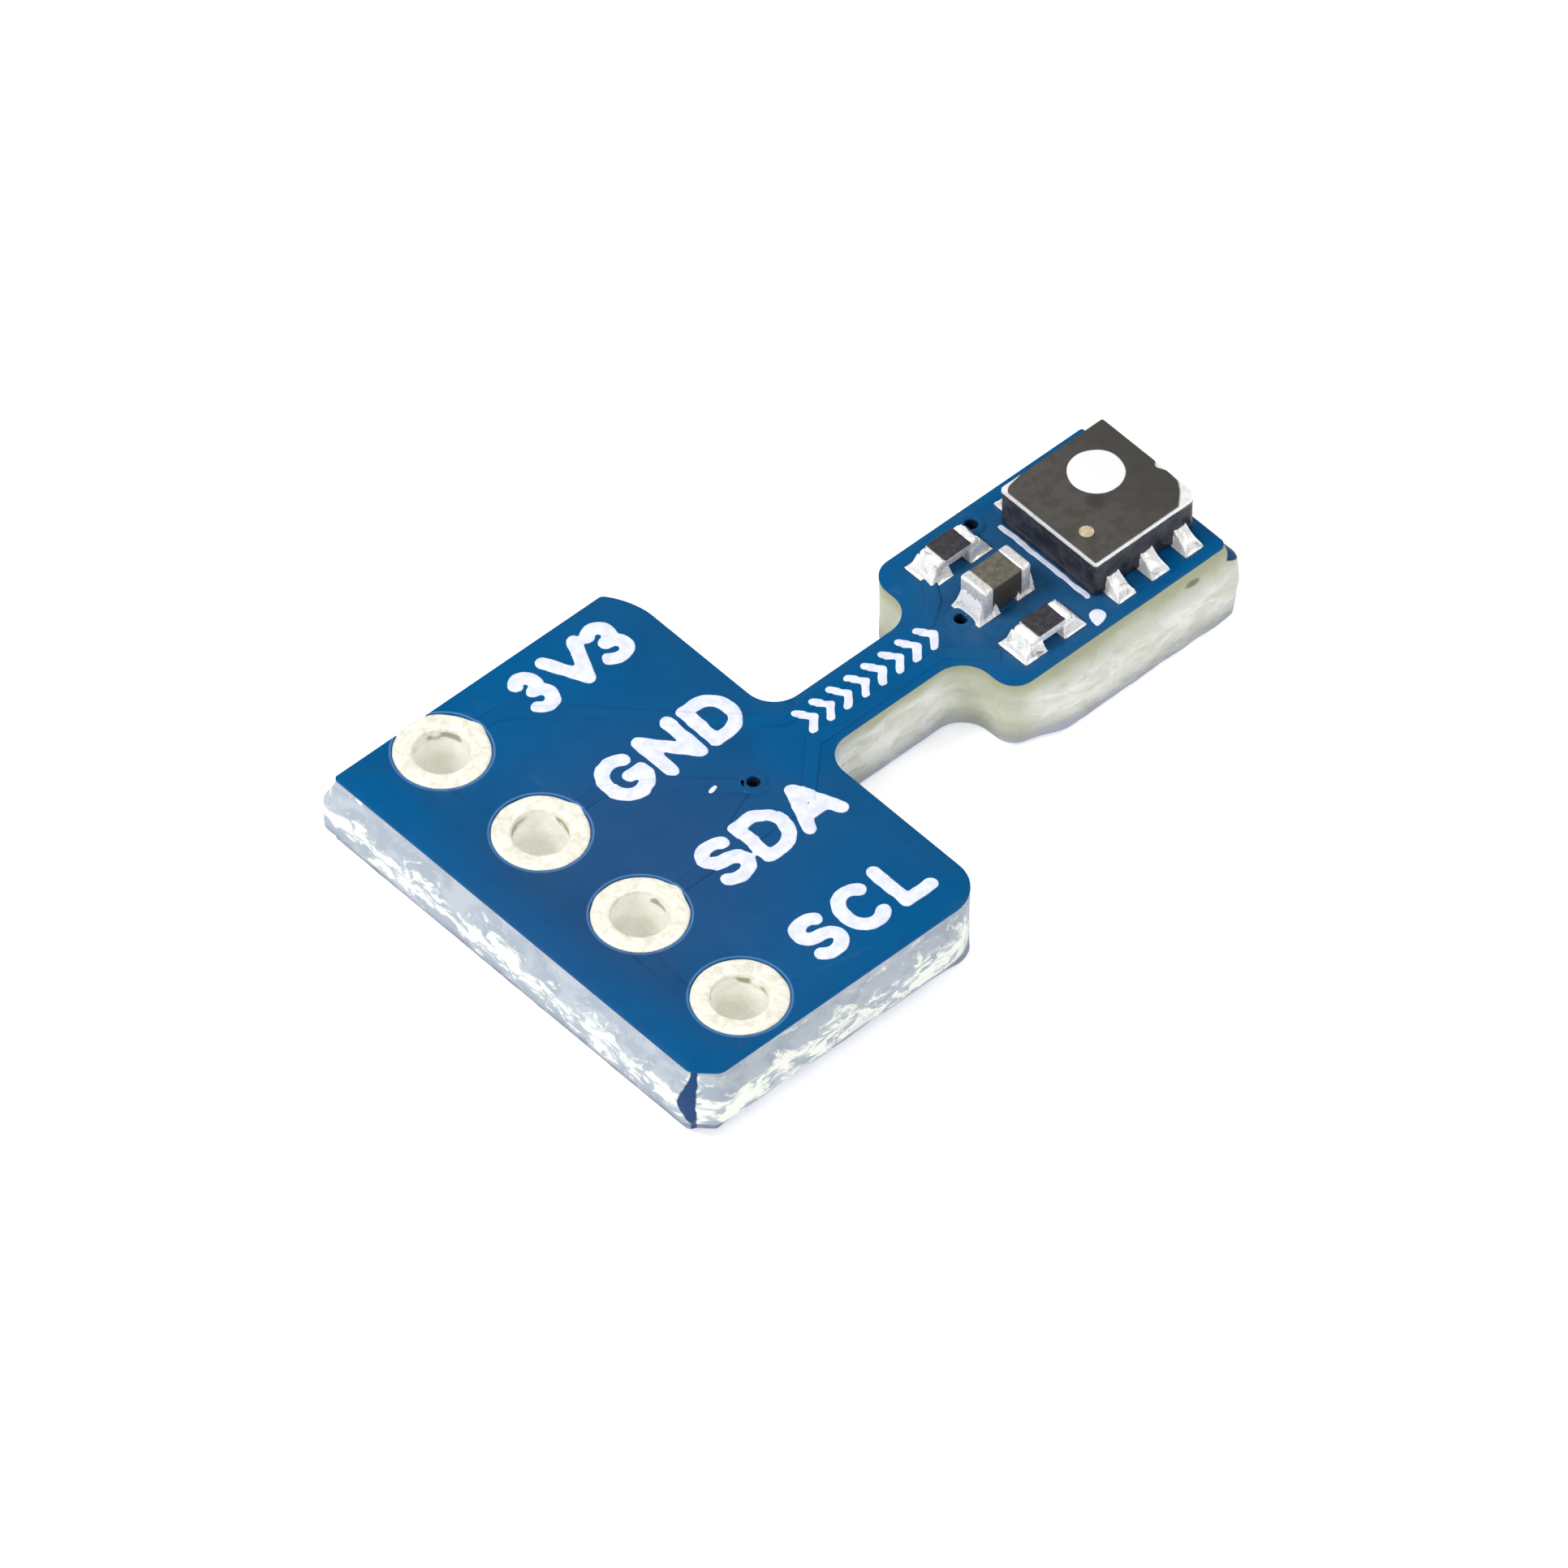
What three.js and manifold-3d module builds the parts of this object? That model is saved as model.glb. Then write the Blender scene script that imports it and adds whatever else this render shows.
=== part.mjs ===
// Air-quality sensor breakout board: a blue circuit board with a four-hole header block, a narrow neck that
// keeps heat away from the sensor, and a small head that carries a gas sensor with a membrane, two pull-up
// resistors and one supply capacitor.
//
// Millimetres, +Z up out of the component side. The origin is in the middle of the header row, on the
// board's underside. +X runs along the neck to the sensor and +Y along the row to the 3V3 hole.
import * as THREE from "three";
import { mergeVertices } from "three/addons/utils/BufferGeometryUtils.js";
import Module from "manifold-3d";

const wasm = await Module();
wasm.setup();

// ---- driving dimensions ----------------------------------------------------------------------------------

const fit = 0.004; // clearance between two pieces that touch
const cutOver = 0.1; // how far a cutting shape runs past the face it cuts
const arcSteps = 3; // half the straight pieces in an arc
const roundSides = 24; // sides of a plated hole, a ring or a round window
const viaSides = 12;

const core = 1.5; // glass-fibre core thickness
const mask = 0.05; // solder mask thickness on each side
const copper = 0.035; // copper foil thickness
const ringFinish = 0.07; // header ring: foil and tin, proud of the mask
const plating = 0.03; // copper wall inside a drilled hole
const maskGap = 0.05; // mask opening around a bare pad

const header = {
  holes: ["scl", "sda", "gnd", "3v3"], // from -Y to +Y
  pitch: 2.54,
  holeRadius: 0.5,
  ringWidth: 0.37,
  rowToEdge: 1.8, // hole row to the board's outer edge
  rowToNeck: 4.8, // hole row to the block's inner edge
  sideMargin: 1.04, // end hole to the side edge
  outerCorner: 0.35,
  innerCorner: 0.7,
};
const neck = { length: 3.4, width: 1.24, fillet: 0.6, trackInset: 0.25 };
const track = { wide: 0.2, fine: 0.1, run: 0.35, gap: 0.1 }; // run: straight out of a ring before it turns
const via = {
  holeRadius: 0.125,
  ringWidth: 0.125,
  toNeck: 1.32, // ground via in the header block to the neck
  offMiddle: -0.35,
  pastLand: 0.1, // via's middle to the end of the land that it serves
  upLand: 0.3,
};

const head = {
  frontMargin: 0.58, // head's front edge to the first lands
  middleGap: 0.51, // chip lands to the sensor
  endMargin: 0.03, // sensor to the board's end
  sideMargin: 0.3, // widest land to the side edge
  nearCorner: 0.45,
  farCorner: 0.1,
};
const resistor = {
  length: 1.0,
  width: 0.5,
  height: 0.35,
  cap: 0.23, // end cap length
  capWall: 0.02,
  coat: 0.02, // glass coat thickness
  solderClimb: 0.24,
};
const capacitor = { length: 1.12, width: 0.64, height: 0.68, cap: 0.24, capWall: 0.02, solderClimb: 0.42 };
const chipLand = { under: 0.36, reach: 0.16, side: 0.04, rowGap: 0.48 }; // about the largest chip
const solderBed = 0.02; // solder under a chip

const sensor = {
  size: 2.44,
  baseHeight: 0.7,
  floor: 0.25,
  wall: 0.25,
  corner: 0.1,
  lid: 0.12,
  coat: 0.03,
  coatInset: 0.03, // bright lid edge left bare around the coat
  coatClip: 0.36, // the coat's clipped corner
  membraneRadius: 0.52,
  membrane: 0.05,
  membraneOffset: [0.27, 0.36], // from the package's middle
  ventRadius: 0.35,
  dotRadius: 0.165,
  dotInset: [0.41, 0.67], // from the package's edges
  dot: 0.035,
  pinPitch: 0.8,
  terminal: { width: 0.34, length: 0.3, height: 0.2 },
  thermalPad: [1.3, 0.9],
  thermalFoil: 0.1,
  asic: { margin: 0.2, height: 0.15 }, // to the cavity's wall
  hotplate: { margin: 0.55, height: 0.2 },
};
const pinLand = { width: 0.42, reach: 0.38 };
const ink = {
  thick: 0.02,
  lineWidth: 0.11,
  lineInset: 0.06,
  lineFromSensor: 0.015,
  markRadius: 0.18,
};
const pinSolder = { bed: 0.03, climb: 0.22, topWidth: 0.3, topReach: 0.06 };

const colours = {
  glassFibre: new THREE.MeshStandardMaterial({ color: 0xd9dcc4, roughness: 0.8 }),
  solderMask: new THREE.MeshStandardMaterial({ color: 0x0b5a96, roughness: 0.35 }),
  tin: new THREE.MeshStandardMaterial({ color: 0xe9e6dc, roughness: 0.4, metalness: 0.9 }),
  copper: new THREE.MeshStandardMaterial({ color: 0xb87333, roughness: 0.4, metalness: 1 }),
  solder: new THREE.MeshStandardMaterial({ color: 0xdcdcda, roughness: 0.25, metalness: 1 }),
  moulding: new THREE.MeshStandardMaterial({ color: 0x26262b, roughness: 0.55 }),
  lidMetal: new THREE.MeshStandardMaterial({ color: 0xd0d0d0, roughness: 0.3, metalness: 1 }),
  lidCoat: new THREE.MeshStandardMaterial({ color: 0x4a4945, roughness: 0.5 }),
  membrane: new THREE.MeshStandardMaterial({ color: 0xfafafa, roughness: 0.8 }),
  gold: new THREE.MeshStandardMaterial({ color: 0xd8b98c, roughness: 0.35, metalness: 1 }),
  silicon: new THREE.MeshStandardMaterial({ color: 0x5b6068, roughness: 0.2, metalness: 0.3 }),
  alumina: new THREE.MeshStandardMaterial({ color: 0xe8e8e4, roughness: 0.6 }),
  glassCoat: new THREE.MeshStandardMaterial({ color: 0x2b2b30, roughness: 0.45 }),
  ink: new THREE.MeshStandardMaterial({ color: 0xeceffa, roughness: 0.7 }),
  titanate: new THREE.MeshStandardMaterial({ color: 0x776f60, roughness: 0.5 }),
};

// ---- places worked out from them -------------------------------------------------------------------------

const faceZ = core + 2 * mask; // component-side mask surface
const coreTop = faceZ - mask;
const foilTop = coreTop + copper;
const ringRadius = header.holeRadius + header.ringWidth;
const viaRadius = via.holeRadius + via.ringWidth;
const holeY = (name) => (header.holes.indexOf(name) - (header.holes.length - 1) / 2) * header.pitch;
const headerHalf = holeY(header.holes.at(-1)) + header.sideMargin;
const headX = header.rowToNeck + neck.length;

const chipHalf = Math.max(resistor.length, capacitor.length) / 2;
const landLength = chipLand.under + chipLand.reach;
const landWidth = Math.max(resistor.width, capacitor.width) + 2 * chipLand.side;
const landOut = chipHalf + chipLand.reach; // chip's middle to a land's outer end
const landMiddle = landOut - landLength / 2;
const chipSpacing = landWidth + chipLand.rowGap;
const chipX = headX + head.frontMargin + landOut;
const leftX = chipX - landMiddle;
const rightX = chipX + landMiddle;
const corridorX = chipX + landOut + head.middleGap / 2; // between the chips and the sensor

const packageHalf = sensor.size / 2;
const sensorX = chipX + landOut + head.middleGap + packageHalf;
const endX = sensorX + packageHalf + head.endMargin;
const pinIn = packageHalf - sensor.terminal.length;
const pinOut = packageHalf + pinLand.reach;
const headHalf = Math.max(chipSpacing + landWidth / 2, pinOut) + head.sideMargin;
const pinX = (column) => sensorX + column * sensor.pinPitch;

const vias = {
  gnd_header: [header.rowToNeck - via.toNeck, via.offMiddle],
  gnd_capacitor: [chipX - landOut - via.pastLand, 0],
  gnd_sensor: [sensorX, 0],
  scl_resistor: [chipX + landOut + via.pastLand, chipSpacing + via.upLand],
};

// ---- shapes and solids -----------------------------------------------------------------------------------

function solidOf(geometry) {
  const bare = geometry.clone();
  bare.deleteAttribute("normal");
  bare.deleteAttribute("uv");
  const merged = mergeVertices(bare, 1e-5);
  const mesh = new wasm.Mesh({
    numProp: 3,
    vertProperties: merged.attributes.position.array,
    triVerts: new Uint32Array(merged.index.array),
  });
  return new wasm.Manifold(mesh);
}

function geometryOf(solid) {
  const mesh = solid.getMesh();
  const geometry = new THREE.BufferGeometry();
  geometry.setAttribute("position", new THREE.BufferAttribute(mesh.vertProperties, 3));
  geometry.setIndex(new THREE.BufferAttribute(mesh.triVerts, 1));
  geometry.computeVertexNormals();
  return geometry;
}

const joined = (solids) => solids.reduce((whole, next) => whole.add(next));
const cut = (solid, cutters) => cutters.reduce((left, cutter) => left.subtract(cutter), solid);

// A closed outline through corners given as [x, y, radius], anticlockwise.
function roundedOutline(corners) {
  const shape = new THREE.Shape();
  corners.forEach(([x, y, radius], i) => {
    const corner = new THREE.Vector2(x, y);
    if (!radius) {
      if (i) shape.lineTo(x, y);
      else shape.moveTo(x, y);
      return;
    }
    const [backX, backY] = corners.at(i - 1);
    const [onX, onY] = corners[(i + 1) % corners.length];
    const back = new THREE.Vector2(backX - x, backY - y).normalize();
    const on = new THREE.Vector2(onX - x, onY - y).normalize();
    const half = Math.acos(back.dot(on)) / 2;
    const middle = back.clone().add(on).normalize();
    const centre = corner.clone().addScaledVector(middle, radius / Math.sin(half));
    const start = corner.clone().addScaledVector(back, radius / Math.tan(half)).sub(centre);
    const end = corner.clone().addScaledVector(on, radius / Math.tan(half)).sub(centre);
    shape.absarc(centre.x, centre.y, radius, start.angle(), end.angle(), start.cross(end) < 0);
  });
  return shape;
}

function prism(shape, low, high) {
  const options = { depth: high - low, bevelEnabled: false, curveSegments: arcSteps };
  return solidOf(new THREE.ExtrudeGeometry(shape, options).translate(0, 0, low));
}

function block([lowX, highX], [lowY, highY], [lowZ, highZ]) {
  const box = new THREE.BoxGeometry(highX - lowX, highY - lowY, highZ - lowZ);
  return solidOf(box.translate((lowX + highX) / 2, (lowY + highY) / 2, (lowZ + highZ) / 2));
}

const around = (middle, size, grow = 0) => [middle - size / 2 - grow, middle + size / 2 + grow];
const between = (a, b) => [Math.min(a, b), Math.max(a, b)];
const grown = ([low, high], grow) => [low - grow, high + grow];

function disc([x, y], radius, low, high, sides = roundSides) {
  const cylinder = new THREE.CylinderGeometry(radius, radius, high - low, sides);
  return solidOf(cylinder.rotateX(Math.PI / 2).translate(x, y, (low + high) / 2));
}

// A track of constant width through its points, with mitred corners, running half its width past each end.
function trackSolid(points, width, low, high) {
  const path = points.map(([x, y]) => new THREE.Vector2(x, y));
  const along = path.slice(1).map((point, i) => point.clone().sub(path[i]).normalize());
  path[0].addScaledVector(along[0], -width / 2);
  path.at(-1).addScaledVector(along.at(-1), width / 2);
  const edge = (side) =>
    path.map((point, i) => {
      const on = along[Math.min(i, along.length - 1)];
      const middle = along[Math.max(i - 1, 0)].clone().add(on).normalize();
      const reach = (side * width) / 2 / middle.dot(on);
      return new THREE.Vector2(point.x - middle.y * reach, point.y + middle.x * reach);
    });
  return prism(new THREE.Shape([...edge(-1), ...edge(1).toReversed()]), low, high);
}

// A plated hole: a tube through the core with a ring on each face.
function platedHole([x, y], bore, rim, ring, sides) {
  const tube = bore + plating;
  const profile = [
    [bore, mask - ring],
    [rim, mask - ring],
    [rim, mask],
    [tube, mask],
    [tube, coreTop],
    [rim, coreTop],
    [rim, coreTop + ring],
    [bore, coreTop + ring],
    [bore, mask - ring],
  ].map(([radius, z]) => new THREE.Vector2(radius, z));
  return solidOf(new THREE.LatheGeometry(profile, sides).rotateX(Math.PI / 2).translate(x, y, 0));
}

// Solder that starts as wide as its land and curves up to a smaller patch against a metal end.
function meniscus(base, top, low, high) {
  const geometry = new THREE.BoxGeometry(1, 1, 1, 1, 1, 4);
  const points = geometry.attributes.position;
  for (let i = 0; i < points.count; i++) {
    const rise = points.getZ(i) + 0.5;
    const inward = 1 - (1 - rise) ** 2.4;
    const drawn = (from, to, share) => {
      const atBase = THREE.MathUtils.lerp(...from, share);
      return THREE.MathUtils.lerp(atBase, THREE.MathUtils.lerp(...to, share), inward);
    };
    const x = drawn(base[0], top[0], points.getX(i) + 0.5);
    const y = drawn(base[1], top[1], points.getY(i) + 0.5);
    points.setXYZ(i, x, y, THREE.MathUtils.lerp(low, high, rise));
  }
  return solidOf(geometry);
}

// ---- the model -------------------------------------------------------------------------------------------

const model = new THREE.Group();

function add(name, solid, material) {
  const mesh = new THREE.Mesh(geometryOf(solid), material);
  mesh.name = name;
  model.add(mesh);
}

// Half of the outline on the +Y side, from the outer edge to the head's end.
const halfOutline = [
  [-header.rowToEdge, headerHalf, header.outerCorner],
  [header.rowToNeck, headerHalf, header.innerCorner],
  [header.rowToNeck, neck.width / 2, neck.fillet],
  [headX, neck.width / 2, neck.fillet],
  [headX, headHalf, head.nearCorner],
  [endX, headHalf, head.farCorner],
];
const outline = roundedOutline([
  ...halfOutline.map(([x, y, radius]) => [x, -y, radius]),
  ...halfOutline.toReversed(),
]);

// ---- copper nets -----------------------------------------------------------------------------------------

// A net is its lands, as [x range, y range], and its tracks, as a width and the points it runs through.
const chipRows = { scl: chipSpacing, supply: 0, sda: -chipSpacing };
const chipLandAt = (side, row) => [
  around(chipX + side * landMiddle, landLength),
  around(chipRows[row], landWidth),
];
const pinLandAt = (column, side) => [
  around(pinX(column), pinLand.width),
  between(side * pinIn, side * pinOut),
];
const thermalRange = (grow) => sensor.thermalPad.map((size, i) => around([sensorX, 0][i], size, grow));
const pins = [-1, 0, 1].map((column) => [column, -1]).concat([1, 0, -1].map((column) => [column, 1]));

const neckStart = header.rowToNeck + track.gap;
const neckLane = neck.width / 2 - neck.trackInset; // the two tracks along the neck
const ringExit = ringRadius + track.run;
const blockTurn = [header.rowToNeck - neck.fillet, neckLane + 2 * neck.fillet];
const dataTurn = [neckStart + neckLane + holeY("sda"), holeY("sda")]; // then at 45 degrees into the neck
const crossing = [ringExit + track.run, holeY("sda")]; // where the underside SCL track passes the SDA hole
const rowLane = chipSpacing / 2; // between two chips
const underRun = viaRadius + track.gap + track.wide / 2; // past a via's ring
const underLane = (pinIn + sensor.thermalPad[1] / 2) / 2; // between the thermal pad and the pins
const edgeLane = headHalf - head.sideMargin / 2; // between the pins and the head's edge
const pinLane = pinIn + track.fine;

const topNets = {
  "3v3": {
    lands: [
      chipLandAt(-1, "scl"),
      chipLandAt(1, "supply"),
      chipLandAt(1, "sda"),
      pinLandAt(-1, -1),
      pinLandAt(0, 1),
    ],
    tracks: [
      [track.wide, [0, holeY("3v3")], [ringExit, holeY("3v3")], blockTurn, [neckStart, neckLane]],
      [track.wide, [neckStart, neckLane], [headX, neckLane], [leftX, chipSpacing]],
      [track.wide, [leftX, chipSpacing], [leftX, rowLane], [rightX, rowLane], [rightX, -chipSpacing]],
      [track.wide, [rightX, -chipSpacing], [pinX(-1), -(pinIn + pinOut) / 2]],
      [track.fine, [rightX, 0], [corridorX, underLane / 2], [corridorX + underLane / 2, underLane]],
      [track.fine, [corridorX + underLane / 2, underLane], [pinX(0), underLane], [pinX(0), pinLane]],
    ],
  },
  sda: {
    lands: [chipLandAt(-1, "sda"), pinLandAt(1, -1)],
    tracks: [
      [track.wide, [0, holeY("sda")], dataTurn, [neckStart, -neckLane]],
      [track.wide, [neckStart, -neckLane], [headX, -neckLane], [leftX, -chipSpacing]],
      [track.fine, [leftX, -chipSpacing], [leftX, -edgeLane], [pinX(1), -edgeLane], [pinX(1), -pinLane]],
    ],
  },
  scl: {
    lands: [chipLandAt(1, "scl"), pinLandAt(-1, 1)],
    tracks: [
      [track.fine, [rightX, chipSpacing], vias.scl_resistor],
      [track.fine, [rightX, pinLane], [pinX(-1), pinLane]],
    ],
  },
  gnd_header: {
    lands: [],
    tracks: [[track.wide, [0, holeY("gnd")], [ringExit + track.run, holeY("gnd")], vias.gnd_header]],
  },
  gnd_capacitor: {
    lands: [chipLandAt(-1, "supply")],
    tracks: [[track.wide, vias.gnd_capacitor, [leftX, 0]]],
  },
  gnd_sensor: {
    lands: [pinLandAt(0, -1), pinLandAt(1, 1), thermalRange(0)],
    tracks: [
      [track.wide, [sensorX, 0], [sensorX, -pinLane]],
      [track.fine, [sensorX + sensor.thermalPad[0] / 2 - track.fine, 0], [pinX(1), pinLane]],
    ],
  },
};
const bottomNets = {
  gnd_under: {
    lands: [],
    tracks: [
      [track.wide, vias.gnd_header, [neckStart, -neckLane], [headX, -neckLane], [leftX, -underRun]],
      [track.wide, [leftX, -underRun], [corridorX, -underRun], vias.gnd_sensor],
      [track.wide, vias.gnd_capacitor, [vias.gnd_capacitor[0], -underRun]],
    ],
  },
  scl_under: {
    lands: [],
    tracks: [
      [track.wide, [0, holeY("scl")], [ringExit, holeY("scl") + track.run], crossing],
      [track.wide, crossing, [crossing[0] + 2 * track.run, neckLane], [headX, neckLane], vias.scl_resistor],
    ],
  },
};

const holeCentres = header.holes.map((name) => [0, holeY(name)]);
const viaCentres = Object.values(vias);

function netSolid({ lands, tracks }, grow, low, high) {
  const strips = tracks.map(([width, ...points]) => trackSolid(points, width + 2 * grow, low, high));
  const plates = lands.map(([x, y]) => block(grown(x, grow), grown(y, grow), [low, high]));
  return joined([...strips, ...plates]);
}

function ringCutters(low, high, grow) {
  return [
    ...holeCentres.map((centre) => disc(centre, ringRadius + grow, low, high)),
    ...viaCentres.map((centre) => disc(centre, viaRadius + grow, low, high, viaSides)),
  ];
}

for (const [nets, low, high] of [
  [topNets, coreTop, foilTop],
  [bottomNets, mask - copper, mask],
]) {
  for (const [name, net] of Object.entries(nets)) {
    const rings = ringCutters(low - cutOver, high + cutOver, fit);
    add(`copper_${name}`, cut(netSolid(net, 0, low, high), rings), colours.copper);
  }
}

// ---- board -----------------------------------------------------------------------------------------------

const drilled = (holeRadius) => holeRadius + plating + fit;
const drills = [
  ...holeCentres.map((centre) => disc(centre, drilled(header.holeRadius), -cutOver, faceZ + cutOver)),
  ...viaCentres.map((centre) => disc(centre, drilled(via.holeRadius), -cutOver, faceZ + cutOver, viaSides)),
];
add("fr4_board", cut(prism(outline, mask + fit, coreTop - fit), drills), colours.glassFibre);

const bareRings = (low, high) => holeCentres.map((centre) => disc(centre, ringRadius + maskGap, low, high));
const openVias = (low, high) => viaCentres.map((centre) => disc(centre, via.holeRadius, low, high, viaSides));

const openingZ = [coreTop - cutOver, faceZ + cutOver];
const topOpenings = Object.values(topNets).flatMap((net) =>
  net.lands.map(([x, y]) => block(grown(x, maskGap), grown(y, maskGap), openingZ)),
);
const topPockets = [
  ...Object.values(topNets).map((net) => netSolid(net, fit, coreTop - cutOver, foilTop + fit)),
  ...viaCentres.map((centre) => disc(centre, viaRadius + fit, coreTop - cutOver, foilTop + fit, viaSides)),
];
add(
  "solder_mask_top",
  cut(prism(outline, coreTop, faceZ), [
    ...topPockets,
    ...topOpenings,
    ...bareRings(coreTop - cutOver, faceZ + cutOver),
    ...openVias(coreTop - cutOver, faceZ + cutOver),
  ]),
  colours.solderMask,
);

const bottomPockets = [
  ...Object.values(bottomNets).map((net) => netSolid(net, fit, mask - copper - fit, mask + cutOver)),
  ...viaCentres.map((centre) => disc(centre, viaRadius + fit, mask - copper - fit, mask + cutOver, viaSides)),
];
add(
  "solder_mask_bottom",
  cut(prism(outline, 0, mask), [
    ...bottomPockets,
    ...bareRings(-cutOver, mask + cutOver),
    ...openVias(-cutOver, mask + cutOver),
  ]),
  colours.solderMask,
);

for (const name of header.holes) {
  const spool = platedHole([0, holeY(name)], header.holeRadius, ringRadius, ringFinish, roundSides);
  add(`header_hole_${name}`, spool, colours.tin);
}
for (const [name, centre] of Object.entries(vias)) {
  add(`via_${name}`, platedHole(centre, via.holeRadius, viaRadius, copper, viaSides), colours.copper);
}

// The printed line along the sensor's near side, and the mark by its first pin.
const inkX = sensorX - packageHalf - ink.lineFromSensor - ink.lineWidth / 2;
const inkZ = [faceZ + fit, faceZ + fit + ink.thick];
const inkLine = block(around(inkX, ink.lineWidth), around(0, sensor.size - 2 * ink.lineInset), inkZ);
add("ink_sensor_line", inkLine, colours.ink);
const markAt = [corridorX, -(chipSpacing + landWidth / 2)];
add("ink_pin1_mark", disc(markAt, ink.markRadius, ...inkZ, viaSides), colours.ink);

// ---- chips -----------------------------------------------------------------------------------------------

const chipZ = foilTop + fit + solderBed; // underside of a chip

// Two end caps around a body, their solder, and the chip's own envelope to cut it with.
function chipEnds(name, row, size, wrapsSides) {
  const y = chipRows[row];
  const [bodyX, bodyZ] = [size.length - 2 * size.capWall, size.height - 2 * size.capWall];
  const bodyY = wrapsSides ? size.width - 2 * size.capWall : size.width;
  const envelopeZ = [chipZ, chipZ + size.height];
  const openY = wrapsSides ? fit : cutOver;
  const inner = block(
    around(chipX, bodyX, fit),
    around(y, bodyY, openY),
    [chipZ + size.capWall - fit, chipZ + size.capWall + bodyZ + fit],
  );
  const envelope = block(around(chipX, size.length, fit), around(y, size.width, fit), [
    envelopeZ[0] - fit,
    envelopeZ[1] + cutOver,
  ]);
  for (const [label, side] of [
    ["left", -1],
    ["right", 1],
  ]) {
    const end = chipX + (side * size.length) / 2;
    const capX = between(end, end - side * size.cap);
    const cap = block(capX, around(y, size.width), envelopeZ).subtract(inner);
    add(`${name}_cap_${label}`, cap, colours.tin);
    const top = [
      between(end - side * size.cap, end + side * 2 * size.capWall),
      around(y, size.width, size.capWall),
    ];
    const climbed = chipZ + size.solderClimb;
    const wetted = meniscus(chipLandAt(side, row), top, foilTop + fit, climbed).subtract(envelope);
    add(`${name}_solder_${label}`, wetted, colours.solder);
  }
  return block(around(chipX, bodyX), around(y, bodyY), [chipZ + size.capWall, chipZ + size.capWall + bodyZ]);
}

for (const row of ["scl", "sda"]) {
  const name = `resistor_${row}`;
  add(`${name}_ceramic`, chipEnds(name, row, resistor, false), colours.alumina);
  const coatZ = chipZ + resistor.height - resistor.capWall + fit;
  const coatLength = resistor.length - 2 * resistor.cap - 2 * fit;
  const coat = block(around(chipX, coatLength), around(chipRows[row], resistor.width), [
    coatZ,
    coatZ + resistor.coat,
  ]);
  add(`${name}_glass_coat`, coat, colours.glassCoat);
}
add("capacitor_body", chipEnds("capacitor", "supply", capacitor, true), colours.titanate);

// ---- sensor ----------------------------------------------------------------------------------------------

const baseZ = foilTop + fit + pinSolder.bed;
const lidZ = baseZ + sensor.baseHeight + fit;
const coatZ = lidZ + sensor.lid + fit;
const membraneAt = [sensorX + sensor.membraneOffset[0], sensor.membraneOffset[1]];
const dotAt = [sensorX - packageHalf + sensor.dotInset[0], -packageHalf + sensor.dotInset[1]];

const square = (half, corner) =>
  roundedOutline(
    [
      [-1, -1],
      [1, -1],
      [1, 1],
      [-1, 1],
    ].map(([x, y]) => [sensorX + x * half, y * half, corner]),
  );

function terminalBlock(column, side, grow) {
  const { width, length, height } = sensor.terminal;
  const y = between(side * (packageHalf - length - grow), side * (packageHalf + (grow ? cutOver : 0)));
  const z = [grow ? baseZ - cutOver : baseZ, baseZ + height + grow];
  return block(around(pinX(column), width, grow), y, z);
}

function thermalBlock(grow) {
  const [x, y] = thermalRange(grow);
  return block(x, y, [grow ? baseZ - cutOver : baseZ, baseZ + sensor.thermalFoil + grow]);
}

const cavityHalf = packageHalf - sensor.wall;
const cavity = block(around(sensorX, 2 * cavityHalf), around(0, 2 * cavityHalf), [
  baseZ + sensor.floor,
  baseZ + sensor.baseHeight + cutOver,
]);
const baseShell = prism(square(packageHalf, sensor.corner), baseZ, baseZ + sensor.baseHeight);
const sockets = pins.map(([column, side]) => terminalBlock(column, side, fit));
add("sensor_base", cut(baseShell, [cavity, thermalBlock(fit), ...sockets]), colours.moulding);
add("sensor_thermal_pad", thermalBlock(0), colours.tin);

const envelopeZ = [baseZ - fit, baseZ + sensor.baseHeight];
const envelope = block(around(sensorX, sensor.size, fit), around(0, sensor.size, fit), envelopeZ);
pins.forEach(([column, side], i) => {
  add(`sensor_terminal_${i + 1}`, terminalBlock(column, side, 0), colours.tin);
  const top = [
    around(pinX(column), pinSolder.topWidth),
    between(side * pinIn, side * (packageHalf + pinSolder.topReach)),
  ];
  const wetted = meniscus(pinLandAt(column, side), top, foilTop + fit, baseZ + pinSolder.climb);
  add(`sensor_solder_${i + 1}`, wetted.subtract(envelope), colours.solder);
});
const thermalSolder = block(...thermalRange(0), [foilTop + fit, baseZ - fit]);
const overVia = disc(vias.gnd_sensor, viaRadius, 0, baseZ, viaSides);
add("sensor_thermal_solder", thermalSolder.subtract(overVia), colours.solder);

const asicZ = baseZ + sensor.floor + fit;
const hotplateZ = asicZ + sensor.asic.height + fit;
for (const [name, z, { margin, height }] of [
  ["sensor_asic_die", asicZ, sensor.asic],
  ["sensor_hotplate_die", hotplateZ, sensor.hotplate],
]) {
  const size = 2 * (cavityHalf - margin);
  add(name, block(around(sensorX, size), around(0, size), [z, z + height]), colours.silicon);
}

const lidPlate = prism(square(packageHalf, sensor.corner), lidZ, lidZ + sensor.lid);
const vent = disc(membraneAt, sensor.ventRadius, lidZ - cutOver, coatZ + cutOver);
add("sensor_lid", lidPlate.subtract(vent), colours.lidMetal);

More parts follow.
